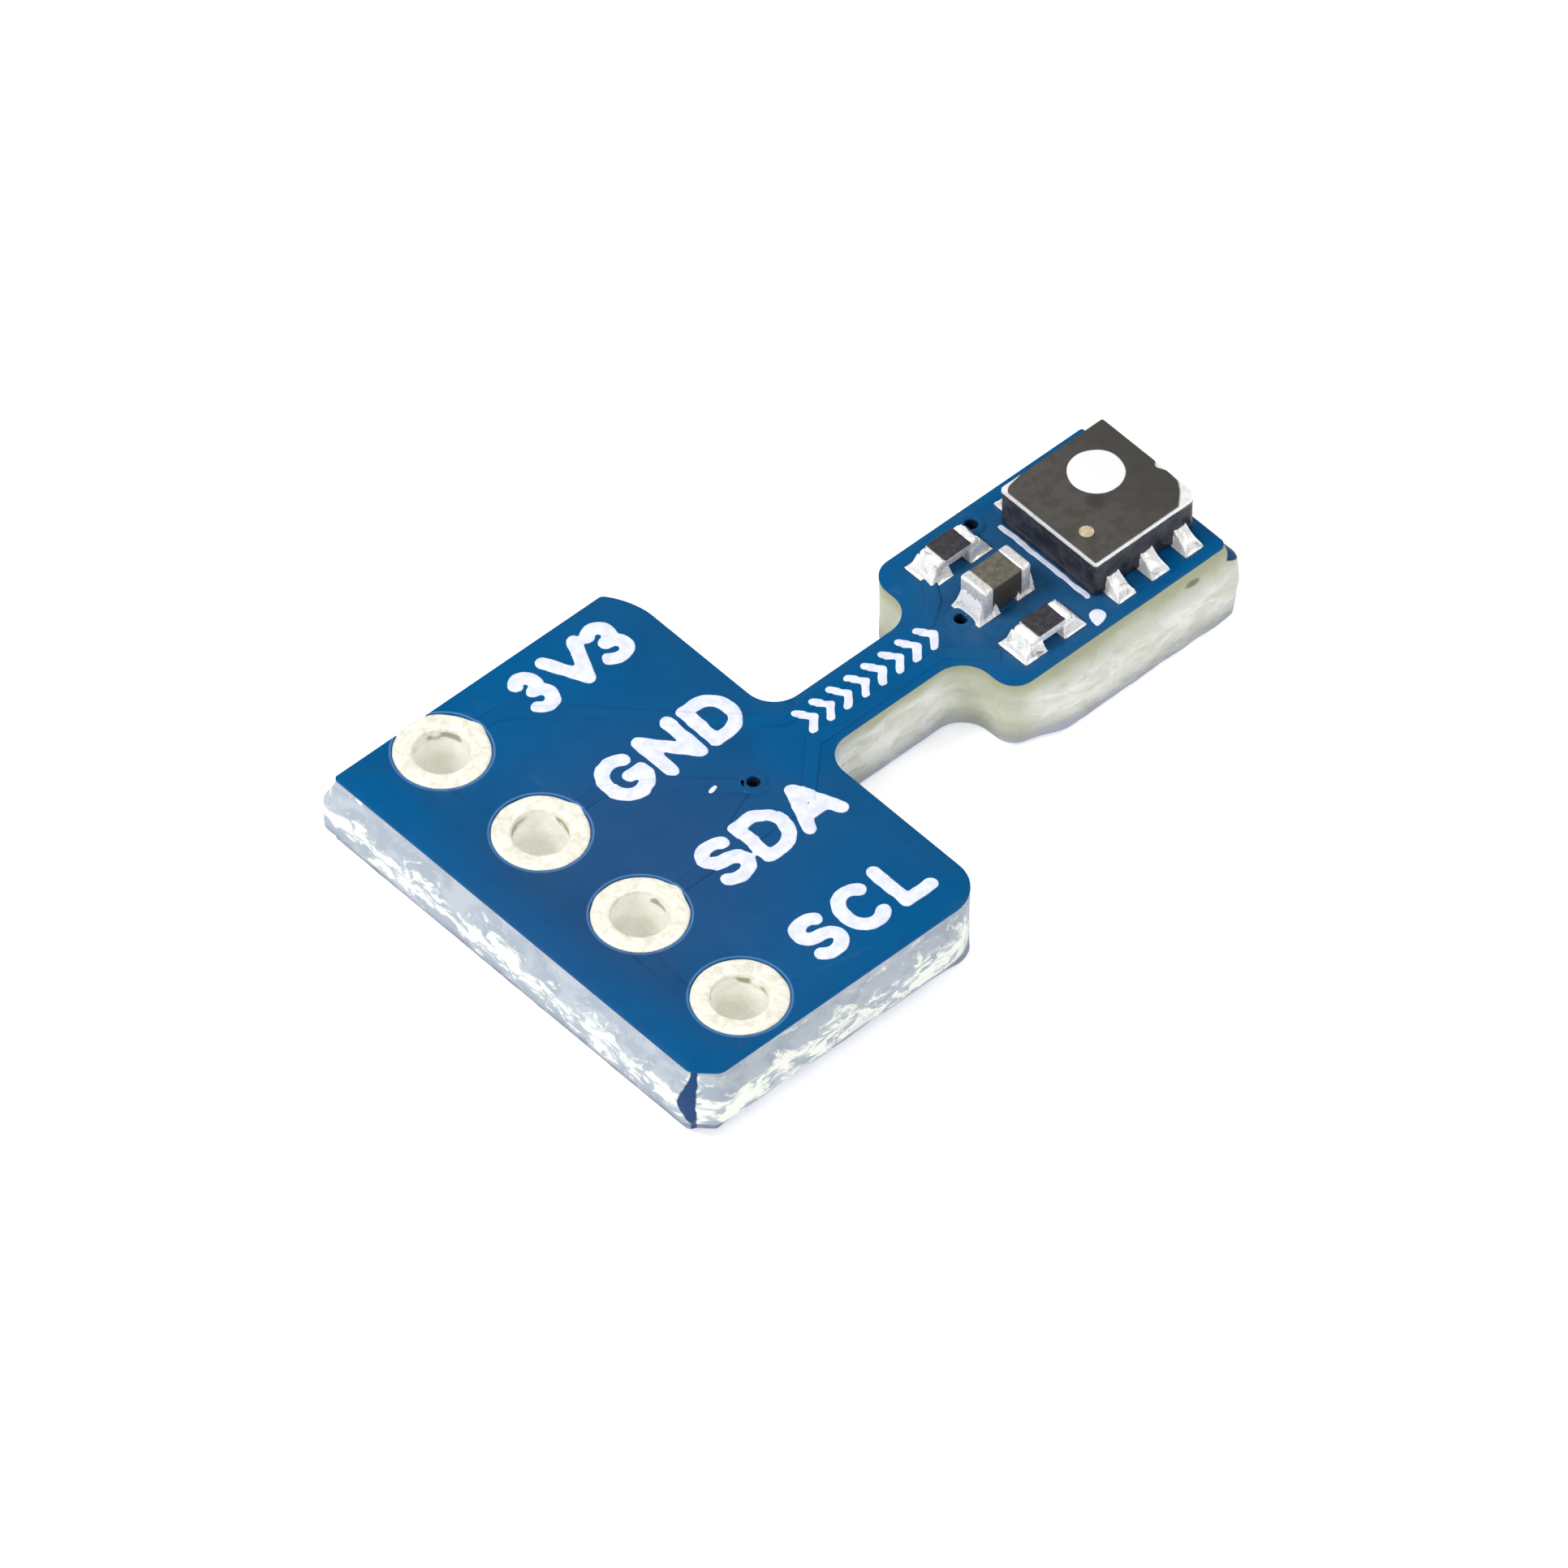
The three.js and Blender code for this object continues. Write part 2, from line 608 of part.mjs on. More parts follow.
const coatHalf = packageHalf - sensor.coatInset;
const coatOutline = roundedOutline([
  [sensorX - coatHalf, -coatHalf, 0],
  [sensorX + coatHalf - sensor.coatClip, -coatHalf, 0],
  [sensorX + coatHalf, -coatHalf + sensor.coatClip, 0],
  [sensorX + coatHalf, coatHalf, 0],
  [sensorX - coatHalf, coatHalf, 0],
]);
const coatCuts = [
  disc(membraneAt, sensor.membraneRadius + fit, coatZ - cutOver, coatZ + cutOver),
  disc(dotAt, sensor.dotRadius + fit, coatZ - cutOver, coatZ + cutOver),
];
add("sensor_lid_coat", cut(prism(coatOutline, coatZ, coatZ + sensor.coat), coatCuts), colours.lidCoat);
const membrane = disc(membraneAt, sensor.membraneRadius, coatZ, coatZ + sensor.membrane);
add("sensor_membrane", membrane, colours.membrane);
add("sensor_pin1_dot", disc(dotAt, sensor.dotRadius, coatZ, coatZ + sensor.dot), colours.gold);

export default model;
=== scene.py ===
import math

import bmesh
import bpy
from mathutils import Matrix, Vector, noise


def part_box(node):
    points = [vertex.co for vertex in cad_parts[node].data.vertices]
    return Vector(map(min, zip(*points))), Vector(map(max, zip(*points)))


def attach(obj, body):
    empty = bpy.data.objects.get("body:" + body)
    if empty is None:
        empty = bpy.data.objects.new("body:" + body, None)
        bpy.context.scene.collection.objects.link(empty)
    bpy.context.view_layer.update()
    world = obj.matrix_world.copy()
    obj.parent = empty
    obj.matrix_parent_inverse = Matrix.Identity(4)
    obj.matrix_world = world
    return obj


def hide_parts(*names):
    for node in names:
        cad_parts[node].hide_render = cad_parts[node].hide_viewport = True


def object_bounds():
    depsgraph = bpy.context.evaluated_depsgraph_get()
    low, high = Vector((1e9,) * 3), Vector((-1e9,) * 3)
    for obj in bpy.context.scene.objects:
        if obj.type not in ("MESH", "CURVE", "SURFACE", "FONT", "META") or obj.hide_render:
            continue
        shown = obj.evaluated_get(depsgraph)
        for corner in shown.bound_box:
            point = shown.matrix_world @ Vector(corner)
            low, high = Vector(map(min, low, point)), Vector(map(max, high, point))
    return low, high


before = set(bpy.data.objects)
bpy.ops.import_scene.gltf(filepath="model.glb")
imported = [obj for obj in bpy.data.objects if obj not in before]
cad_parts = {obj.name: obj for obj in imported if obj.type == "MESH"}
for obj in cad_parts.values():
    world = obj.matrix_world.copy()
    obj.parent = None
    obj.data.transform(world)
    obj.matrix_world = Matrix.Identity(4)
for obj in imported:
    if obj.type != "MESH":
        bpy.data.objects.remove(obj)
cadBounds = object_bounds()
mm = 0.001  # pieces are modelled in millimetres and shrunk to metres as they are finished


boxes = {}


def boxOf(node):
    if node not in boxes:
        boxes[node] = [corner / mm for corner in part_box(node)]
    return boxes[node]


def middleOf(node):
    low, high = boxOf(node)
    return (low + high) / 2


def spanOf(node):
    low, high = boxOf(node)
    return high - low


# ---- camera, floor and light ----

camera = {
    "azimuth": -42.54,  # degrees, 0 looks along +Y
    "elevation": 48.5,
    "distance": 420.0,
    "lens": 559.1,
    "aim": (3.839, -0.740, 1.6),
}
studio = {
    "floorSize": 4000.0,
    "floorColour": (0.93, 0.93, 0.93),
    "floorGlow": 0.42,
    "worldColour": (1.0, 1.0, 1.0),
    "worldStrength": 0.50,
    "lampDistance": 90.0,
    # name: (azimuth it stands at, elevation, width, watts)
    "lamps": {
        "keyLeft": (150, 52, 34.0, 0.050),
        "fillRight": (-28, 45, 34.0, 0.015),
        "front": (-130, 30, 24.0, 0.016),
    },
}


def makeCamera():
    lensData = bpy.data.cameras.new("stillCamera")
    lensData.lens = camera["lens"]
    lensData.sensor_width = 36.0
    lensData.clip_start = 0.001
    stand = bpy.data.objects.new("stillCamera", lensData)
    bpy.context.scene.collection.objects.link(stand)
    turn, lift = math.radians(camera["azimuth"]), math.radians(camera["elevation"])
    back = Vector((math.sin(turn) * math.cos(lift), -math.cos(turn) * math.cos(lift), math.sin(lift)))
    stand.location = (Vector(camera["aim"]) + back * camera["distance"]) * mm
    stand.rotation_euler = (-back).to_track_quat("-Z", "Y").to_euler()
    bpy.context.scene.camera = stand


def makeStudio():
    floor = bmesh.new()
    bmesh.ops.create_grid(floor, x_segments=2, y_segments=2, size=studio["floorSize"] / 2 * mm)
    bmesh.ops.translate(floor, verts=floor.verts, vec=(0, 0, cadBounds[0].z - 0.00001))
    mesh = bpy.data.meshes.new("floor")
    floor.to_mesh(mesh)
    floor.free()
    paper = bpy.data.materials.new("palePaper")
    paper.use_nodes = True
    shader = paper.node_tree.nodes["Principled BSDF"]
    shader.inputs["Base Color"].default_value = (*studio["floorColour"], 1)
    shader.inputs["Roughness"].default_value = 0.9
    shader.inputs["Specular IOR Level"].default_value = 0.1
    shader.inputs["Emission Color"].default_value = (1, 1, 1, 1)
    shader.inputs["Emission Strength"].default_value = studio["floorGlow"]
    mesh.materials.append(paper)
    sheet = bpy.data.objects.new("floor", mesh)
    bpy.context.scene.collection.objects.link(sheet)

    world = bpy.data.worlds.new("softBox")
    world.use_nodes = True
    sky = world.node_tree.nodes["Background"]
    sky.inputs["Color"].default_value = (*studio["worldColour"], 1)
    sky.inputs["Strength"].default_value = studio["worldStrength"]
    bpy.context.scene.world = world

    for name, (azimuth, elevation, width, watts) in studio["lamps"].items():
        lamp = bpy.data.lights.new(name, "AREA")
        lamp.shape = "DISK"
        lamp.size = width * mm
        lamp.energy = watts
        holder = bpy.data.objects.new(name, lamp)
        bpy.context.scene.collection.objects.link(holder)
        turn, lift = math.radians(azimuth), math.radians(elevation)
        away = Vector((math.cos(turn) * math.cos(lift), math.sin(turn) * math.cos(lift), math.sin(lift)))
        holder.location = (Vector(camera["aim"]) + away * studio["lampDistance"]) * mm
        holder.rotation_euler = (-away).to_track_quat("-Z", "Y").to_euler()
    bpy.context.scene.view_settings.view_transform = "Standard"


makeCamera()
makeStudio()
print("camera and studio ready")


# ---- finishes ----

class Finish:
    """Node shorthand for one material, whose patterns are in millimetres on Object coordinates."""

    def __init__(self, name, **sockets):
        self.material = bpy.data.materials.new(name)
        self.material.use_nodes = True
        self.nodes = self.material.node_tree.nodes
        self.links = self.material.node_tree.links
        self.shader = self.nodes["Principled BSDF"]
        self.place = self.nodes.new("ShaderNodeTexCoord").outputs["Object"]
        for socket, value in sockets.items():
            self.shader.inputs[socket.replace("_", " ")].default_value = value
        self.height = None

    def scaled(self, scale, rotation=(0, 0, 0)):
        node = self.nodes.new("ShaderNodeMapping")
        node.inputs["Scale"].default_value = [s / mm for s in scale]
        node.inputs["Rotation"].default_value = rotation
        self.links.new(self.place, node.inputs["Vector"])
        return node.outputs["Vector"]

    def cloud(self, scale, detail=3.0, rough=0.5, stretch=(1, 1, 1), distortion=0.0):
        node = self.nodes.new("ShaderNodeTexNoise")
        node.inputs["Scale"].default_value = scale
        node.inputs["Detail"].default_value = detail
        node.inputs["Roughness"].default_value = rough
        node.inputs["Distortion"].default_value = distortion
        self.links.new(self.scaled(stretch), node.inputs["Vector"])
        return node.outputs["Fac"]

    def ramp(self, value, *stops):
        node = self.nodes.new("ShaderNodeValToRGB")
        elements = node.color_ramp.elements
        while len(elements) < len(stops):
            elements.new(0.5)
        for element, (at, colour) in zip(elements, stops):
            element.position = at
            element.color = (*colour, 1) if isinstance(colour, tuple) else (colour, colour, colour, 1)
        self.links.new(value, node.inputs["Fac"])
        return node.outputs["Color"]

    def mix(self, share, first, second, kind="MIX"):
        node = self.nodes.new("ShaderNodeMix")
        node.data_type = "RGBA"
        node.blend_type = kind
        for socket, value in ((0, share), (6, first), (7, second)):
            self.feed(node.inputs[socket], value)
        return node.outputs[2]

    def maths(self, operation, first, second=0.0, third=0.0):
        node = self.nodes.new("ShaderNodeMath")
        node.operation = operation
        for socket, value in zip(node.inputs, (first, second, third)):
            self.feed(socket, value)
        return node.outputs[0]

    def between(self, value, fromLow, fromHigh, toLow=0.0, toHigh=1.0):
        node = self.nodes.new("ShaderNodeMapRange")
        node.interpolation_type = "SMOOTHSTEP"
        for socket, number in zip(node.inputs, (value, fromLow, fromHigh, toLow, toHigh)):
            self.feed(socket, number)
        return node.outputs[0]

    def length(self, first, second):
        squares = [self.maths("POWER", self.maths("ABSOLUTE", side), 2.0) for side in (first, second)]
        return self.maths("SQRT", self.maths("ADD", *squares))

    def axes(self):
        node = self.nodes.new("ShaderNodeSeparateXYZ")
        self.links.new(self.scaled((1, 1, 1)), node.inputs[0])
        return node.outputs

    def feed(self, socket, value):
        if isinstance(value, bpy.types.NodeSocket):
            self.links.new(value, socket)
        elif isinstance(value, tuple):
            socket.default_value = (*value, 1)
        else:
            socket.default_value = value

    def bump(self, value, depth, strength=1.0):
        node = self.nodes.new("ShaderNodeBump")
        node.inputs["Distance"].default_value = depth * mm
        node.inputs["Strength"].default_value = strength
        self.links.new(value, node.inputs["Height"])
        if self.height:
            self.links.new(self.height, node.inputs["Normal"])
        self.height = node.outputs["Normal"]
        self.links.new(self.height, self.shader.inputs["Normal"])

    def colour(self, value):
        self.feed(self.shader.inputs["Base Color"], value)

    def roughness(self, value, low, high):
        self.links.new(self.between(value, 0.3, 0.7, low, high), self.shader.inputs["Roughness"])


def blueMask():
    look = {
        "edge": (0.000, 0.089, 0.248),
        "middle": (0.016, 0.071, 0.190),
        "deep": (0.002, 0.058, 0.175),
        "rimHighlight": (0.10, 0.24, 0.48),
        "shadeNearChips": (0.018, 0.090, 0.205),
        "middleAt": (0.8, -0.6),
        "middleReach": 5.8,
        "chipsAt": (9.9, -0.2),
        "chipsReach": 2.6,
        "ringEdge": 0.905,
        "pitch": 2.54,
    }
    finish = Finish("blueSolderMask", Specular_IOR_Level=0.06)
    x, y, z = finish.axes()
    dx = finish.maths("SUBTRACT", x, look["middleAt"][0])
    dy = finish.maths("MULTIPLY", finish.maths("SUBTRACT", y, look["middleAt"][1]), 0.8)
    wander = finish.maths("MULTIPLY", finish.cloud(0.35, 2.0), 2.4)
    share = finish.between(finish.maths("ADD", finish.length(dx, dy), wander), 1.6, look["middleReach"])
    base = finish.mix(share, look["middle"], look["edge"])
    # painted shade: the mask is coloured darker and greyer around the chips and the sensor
    toChips = finish.length(finish.maths("SUBTRACT", x, look["chipsAt"][0]),
                            finish.maths("SUBTRACT", y, look["chipsAt"][1]))
    base = finish.mix(finish.between(toChips, 0.9, look["chipsReach"], 0.9, 0.0), base, look["shadeNearChips"])
    blotch = finish.between(finish.cloud(1.7, 4.0), 0.45, 0.8, 0.0, 0.35)
    blue = finish.mix(blotch, base, look["deep"])
    # painted highlight: a pale ring on the mask where its edge rounds over beside each header ring
    half = look["pitch"] / 2
    along = finish.maths("PINGPONG", finish.maths("ADD", y, half), half)
    away = finish.maths("ABSOLUTE", finish.maths("SUBTRACT", finish.length(x, along), look["ringEdge"]))
    finish.colour(finish.mix(finish.between(away, 0.0, 0.035, 0.75, 0.0), blue, look["rimHighlight"]))
    finish.roughness(finish.cloud(6.0, 3.0), 0.22, 0.36)
    finish.bump(finish.cloud(3.0, 2.0), 0.012, 0.2)
    finish.bump(finish.cloud(38.0, 2.0), 0.002, 0.30)
    return finish.material


def glassFibre():
    look = {
        "cream": (0.57, 0.58, 0.51),
        "creamPale": (0.72, 0.73, 0.69),
        "olive": (0.36, 0.38, 0.24),
        "white": (0.82, 0.85, 0.78),
        "slate": (0.26, 0.31, 0.40),
        "slatePale": (0.37, 0.42, 0.49),
        "foot": (0.32, 0.34, 0.43),
        "residue": (0.010, 0.050, 0.150),
        "nickShade": (0.12, 0.14, 0.08),
        "cornerAt": (-1.44, -4.52),
        "bendAt": 8.25,
        "chipAt": (13.35, 1.34),  # x and height of the chip of mask at the head's far corner
        "chipSides": ((0.85, 0.52, 0.075), (-0.44, -0.90, 0.063), (-0.46, 0.89, 0.115)),
        "nickAt": (12.36, 1.38),
    }
    finish = Finish("sawnGlassFibre", Specular_IOR_Level=0.25)
    x, y, z = finish.axes()
    weave = finish.cloud(1.0, 5.0, 0.62, stretch=(1.3, 1.3, 2.6), distortion=0.6)
    fibres = finish.cloud(1.0, 4.0, 0.66, stretch=(2.3, 2.3, 5.5), distortion=0.8)
    onBlock = finish.between(x, 4.2, 6.2, 1.0, 0.0)
    # the scored block: slate at the top, torn white in the middle, slate again at the foot
    ragged = finish.maths("ADD", z, finish.maths("MULTIPLY", finish.maths("SUBTRACT", weave, 0.5), 0.9))
    upper = finish.between(ragged, 0.98, 1.30, 0.0, 0.18)
    low = finish.maths("SUBTRACT", ragged, finish.between(x, -1.86, -1.78, 0.24, 0.0))  # deeper on the outer end
    lower = finish.between(low, 0.60, 0.30, 0.0, 0.17)
    tornAt = finish.maths("ADD", fibres, finish.maths("ADD", upper, lower))
    slate = finish.mix(finish.between(weave, 0.42, 0.60), look["slate"], look["slatePale"])
    block = finish.mix(finish.between(tornAt, 0.47, 0.60, 0.0, 0.85), look["white"], slate)
    # painted shade: the block's walls are multiplied darker towards the foot, more on the outer end
    block = finish.mix(finish.between(low, 0.06, 0.42, 0.45, 0.0), block, look["foot"], "MULTIPLY")
    # the routed neck and the head: smooth cream with olive fibre streaks, and an olive edge under the mask that is
    # painted shade of the groove there
    head = finish.mix(finish.between(weave, 0.38, 0.62), look["cream"], look["creamPale"])
    edge = finish.between(finish.maths("ADD", z, finish.maths("MULTIPLY", weave, 0.5)), 1.42, 1.72, 0.0, 0.9)
    streak = finish.between(fibres, 0.52, 0.68, 0.0, 0.32)
    head = finish.mix(finish.maths("MAXIMUM", edge, streak), head, look["olive"])
    # painted shade: olive darkening in the concave fillet where the neck turns into the head
    bendShade = finish.between(finish.maths("ABSOLUTE", finish.maths("SUBTRACT", x, look["bendAt"])), 0.0, 0.75, 0.6, 0.0)
    head = finish.mix(bendShade, head, look["olive"])
    wall = finish.mix(onBlock, head, block)
    # painted shade: every wall is multiplied darker towards the bottom, and the lowest ragged strip takes the dark
    # foot colour
    wall = finish.mix(finish.between(z, 0.0, 0.70, 0.70, 0.0), wall, look["foot"], "MULTIPLY")
    wall = finish.mix(finish.between(ragged, 0.04, 0.20, 0.75, 0.0), wall, look["foot"])
    # mask left on the corner: across is the distance along the corner's face, seen from outside
    ax = finish.maths("SUBTRACT", x, look["cornerAt"][0])
    ay = finish.maths("SUBTRACT", y, look["cornerAt"][1])
    across = finish.maths("MULTIPLY", finish.maths("SUBTRACT", ax, ay), 0.7071)
    level = finish.maths("ABSOLUTE", finish.maths("SUBTRACT", z, 0.95))
    middle = finish.between(level, 0.0, 0.6, -0.33, -0.20)
    half = finish.between(level, 0.0, 0.62, 0.15, 0.04)
    wobble = finish.maths("MULTIPLY", finish.maths("SUBTRACT", finish.cloud(4.0, 2.0), 0.5), 0.10)
    off = finish.maths("ADD", finish.maths("ABSOLUTE", finish.maths("SUBTRACT", across, middle)), wobble)
    residue = finish.between(off, half, finish.maths("ADD", half, 0.03), 1.0, 0.0)
    residue = finish.maths("MULTIPLY", residue, finish.between(x, 0.0, 0.5, 1.0, 0.0))
    # a chip of mask on the head's far corner, bounded by three straight sides
    ex = finish.maths("SUBTRACT", x, look["chipAt"][0])
    ez = finish.maths("SUBTRACT", z, look["chipAt"][1])
    sides = [
        finish.maths("SUBTRACT", finish.maths("ADD", finish.maths("MULTIPLY", ex, alongX),
                                              finish.maths("MULTIPLY", ez, alongZ)), reach)
        for alongX, alongZ, reach in look["chipSides"]
    ]
    outside = finish.maths("MAXIMUM", finish.maths("MAXIMUM", sides[0], sides[1]), sides[2])
    nearSide = finish.between(y, -1.7, -1.5, 1.0, 0.0)
    chip = finish.maths("MULTIPLY", finish.between(outside, -0.01, 0.01, 1.0, 0.0), nearSide)
    # painted shade of a small gap (nick) under the mask's edge, where the gap itself is not modelled
    nx = finish.maths("MULTIPLY", finish.maths("SUBTRACT", x, look["nickAt"][0]), 0.2)
    nz = finish.maths("SUBTRACT", z, look["nickAt"][1])
    nickShade = finish.maths("MULTIPLY", finish.between(finish.length(nx, nz), 0.02, 0.045, 0.8, 0.0), nearSide)
    wall = finish.mix(nickShade, wall, look["nickShade"])
    finish.colour(finish.mix(finish.maths("MAXIMUM", residue, chip), wall, look["residue"]))
    finish.roughness(weave, 0.55, 0.85)
    finish.bump(weave, 0.05, 0.45)
    torn = finish.maths("MULTIPLY", fibres, finish.between(onBlock, 0.0, 1.0, 0.25, 1.0))
    finish.bump(torn, 0.05, 0.7)
    return finish.material


def tinned():
    look = {
        "tin": (0.88, 0.86, 0.75), "worn": (0.76, 0.74, 0.62), "bright": (0.97, 0.96, 0.91),
        "barrel": (1.0, 0.99, 0.94), "barrelShade": (0.93, 0.92, 0.84), "lipShadow": (0.34, 0.33, 0.22),
    }
    finish = Finish("creamTin", Metallic=0.05, Specular_IOR_Level=0.5)
    z = finish.axes()[2]
    patches = finish.cloud(5.0, 4.0, 0.6, distortion=0.8)
    base = finish.mix(finish.between(patches, 0.35, 0.55), look["worn"], look["tin"])
    face = finish.mix(finish.between(patches, 0.55, 0.72), base, look["bright"])
    # painted light: the bore's tin is coloured whiter than the same tin on the face, offsetting the shade inside the
    # hole; mottled at random
    wall = finish.mix(finish.between(finish.cloud(2.6, 3.0, distortion=0.5), 0.4, 0.6),
                      look["barrelShade"], look["barrel"])
    # painted shadow: dark olive patches on the bore just under each lip
    fromMiddle = finish.maths("ABSOLUTE", finish.maths("SUBTRACT", z, 0.8))
    underLip = finish.maths("MULTIPLY", finish.between(fromMiddle, 0.52, 0.62), finish.between(fromMiddle, 0.76, 0.71))
    patchy = finish.between(finish.cloud(1.9, 2.0), 0.52, 0.62, 0.0, 0.9)
    wall = finish.mix(finish.maths("MULTIPLY", underLip, patchy), wall, look["lipShadow"])
    inside = finish.between(fromMiddle, 0.70, 0.77, 1.0, 0.0)
    finish.colour(finish.mix(inside, face, wall))
    finish.roughness(patches, 0.36, 0.58)
    finish.bump(finish.cloud(7.0, 3.0, 0.55, distortion=0.5), 0.05, 0.5)
    finish.bump(finish.cloud(30.0, 2.0), 0.006, 0.4)
    return finish.material


def brightSolder():
    look = {"bright": (1.0, 0.99, 0.97), "grey": (0.42, 0.43, 0.45)}
    finish = Finish("brightSolder", Metallic=0.2, Specular_IOR_Level=0.9)
    patches = finish.cloud(4.0, 3.0, 0.55, distortion=0.9)
    finish.colour(finish.mix(finish.between(patches, 0.55, 0.70), look["bright"], look["grey"]))
    finish.roughness(patches, 0.16, 0.34)
    finish.bump(finish.cloud(8.0, 2.0, distortion=0.7), 0.035, 0.5)
    return finish.material


def endCapTin():
    look = {"light": (0.92, 0.91, 0.89), "dull": (0.66, 0.65, 0.63)}
    finish = Finish("endCapTin", Metallic=0.5)
    grain = finish.cloud(14.0, 4.0, 0.6)
    finish.colour(finish.mix(finish.between(grain, 0.4, 0.65), look["light"], look["dull"]))
    finish.roughness(grain, 0.30, 0.50)
    finish.bump(grain, 0.010, 0.6)
    return finish.material


def capacitorBody():
    look = {"top": (0.145, 0.134, 0.100), "topDark": (0.095, 0.090, 0.070), "side": (0.045, 0.042, 0.036)}
    finish = Finish("titanateCeramic", Specular_IOR_Level=0.35)
    z = finish.axes()[2]
    grain = finish.cloud(7.0, 4.0, 0.6)
    top = finish.mix(finish.between(grain, 0.4, 0.6), look["top"], look["topDark"])
    # painted light and shade: the top face is coloured lighter olive-grey for its reflection, the sides near-black for
    # their shade
    upper = middleOf("capacitor_body").z + spanOf("capacitor_body").z / 2
    finish.colour(finish.mix(finish.between(z, upper - 0.05, upper - 0.015), look["side"], top))
    finish.roughness(grain, 0.38, 0.6)
    finish.bump(grain, 0.008, 0.6)
    return finish.material


def lidMetal():
    look = {"bright": (0.99, 0.99, 0.99), "dull": (0.80, 0.80, 0.81), "side": (0.040, 0.040, 0.045)}
    finish = Finish("nickelLid", Metallic=0.25, Specular_IOR_Level=0.7)
    z = finish.axes()[2]
    grain = finish.cloud(6.0, 4.0, 0.6)
    metal = finish.mix(finish.between(grain, 0.5, 0.7), look["bright"], look["dull"])
    upper = boxOf("sensor_lid")[1].z
    wavy = finish.maths("ADD", z, finish.maths("MULTIPLY", finish.cloud(5.0, 2.0), 0.03))
    finish.colour(finish.mix(finish.between(wavy, upper - 0.055, upper - 0.035), look["side"], metal))
    finish.roughness(grain, 0.2, 0.4)
    finish.bump(grain, 0.008, 0.5)
    return finish.material


def sensorCoat():
    look = {
        "light": (0.080, 0.074, 0.066), "dark": (0.060, 0.055, 0.048), "membraneShadow": (0.035, 0.032, 0.028),
        "far": (0.044, 0.041, 0.037), "membraneShadowAt": (-0.03, -0.66), "membraneShadowReach": (0.10, 0.24),
    }
    finish = Finish("darkLidCoat", Specular_IOR_Level=0.3)
    x, y, _ = finish.axes()
    grain = finish.cloud(3.5, 5.0, 0.6)
    base = finish.mix(finish.between(grain, 0.4, 0.62), look["light"], look["dark"])
    centre = middleOf("sensor_membrane")
    base = finish.mix(finish.between(x, centre.x - 1.0, centre.x + 0.8, 0.0, 0.7), base, look["far"])
    # painted shadow: a soft dark patch on the coat beside the raised membrane, towards -X and -Y
    dx = finish.maths("SUBTRACT", x, centre.x + look["membraneShadowAt"][1] * 0.676 + look["membraneShadowAt"][0])
    dy = finish.maths("SUBTRACT", y, centre.y + look["membraneShadowAt"][1] * 0.737)
    near = finish.between(finish.length(dx, dy), *look["membraneShadowReach"], 0.7, 0.0)
    finish.colour(finish.mix(near, base, look["membraneShadow"]))
    finish.roughness(grain, 0.42, 0.62)
    finish.bump(grain, 0.006, 0.5)
    return finish.material


def grainy(name, light, dark, scale, rough, depth, **sockets):
    finish = Finish(name, **sockets)
    grain = finish.cloud(scale, 4.0, 0.6)
    finish.colour(finish.mix(finish.between(grain, 0.38, 0.66), light, dark))
    finish.roughness(grain, *rough)
    finish.bump(grain, depth, 0.7)
    return finish.material


looks = {
    "mask": blueMask(),
    "board": glassFibre(),
    "tin": tinned(),
    "solder": brightSolder(),
    "endCap": endCapTin(),
    "copper": grainy("foilCopper", (0.72, 0.40, 0.24), (0.50, 0.26, 0.15), 20, (0.3, 0.5), 0.004, Metallic=1.0),
    # painted shade: the via barrels are coloured near-black navy for the dark of the deep holes, not the plating's own
    # colour
    "viaShadeLining": grainy("viaShadeLining", (0.004, 0.020, 0.060), (0.002, 0.010, 0.030), 20, (0.5, 0.7), 0.004),
    "alumina": grainy("aluminaCeramic", (0.74, 0.75, 0.78), (0.50, 0.52, 0.56), 16, (0.5, 0.7), 0.006),
    "glassCoat": grainy("blackGlassCoat", (0.020, 0.020, 0.026), (0.040, 0.040, 0.050), 10, (0.32, 0.5), 0.008),
    "titanate": capacitorBody(),
    "moulding": grainy("blackMoulding", (0.014, 0.016, 0.023), (0.042, 0.045, 0.058), 3.5, (0.34, 0.55), 0.010,
                       Specular_IOR_Level=0.3),
    "silicon": grainy("polishedSilicon", (0.20, 0.21, 0.24), (0.15, 0.16, 0.19), 8, (0.1, 0.25), 0.001, Metallic=0.5),
    "lid": lidMetal(),
    "lidCoat": sensorCoat(),
    "membrane": grainy("filterMembrane", (0.93, 0.93, 0.93), (0.84, 0.84, 0.85), 25, (0.75, 0.9), 0.010),
    "gold": grainy("goldFlash", (0.95, 0.78, 0.55), (0.70, 0.50, 0.30), 9, (0.22, 0.45), 0.012, Metallic=0.6),
    "ink": grainy("whiteInk", (0.80, 0.83, 0.95), (0.68, 0.71, 0.86), 6, (0.55, 0.75), 0.014),
}
print("finishes ready")


# ---- making pieces ----

def finishPiece(bm, name, look, replaced=(), sharp=32.0, merge=0.0005):
    bmesh.ops.remove_doubles(bm, verts=bm.verts, dist=merge)
    bmesh.ops.recalc_face_normals(bm, faces=bm.faces)
    bmesh.ops.scale(bm, verts=bm.verts, vec=(mm, mm, mm))
    mesh = bpy.data.meshes.new(name)
    bm.to_mesh(mesh)
    bm.free()
    mesh.shade_smooth()
    mesh.set_sharp_from_angle(angle=math.radians(sharp))
    mesh.materials.append(looks[look])
    piece = bpy.data.objects.new(name, mesh)
    bpy.context.scene.collection.objects.link(piece)
    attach(piece, "root")
    if replaced:
        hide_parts(*replaced)
    return piece


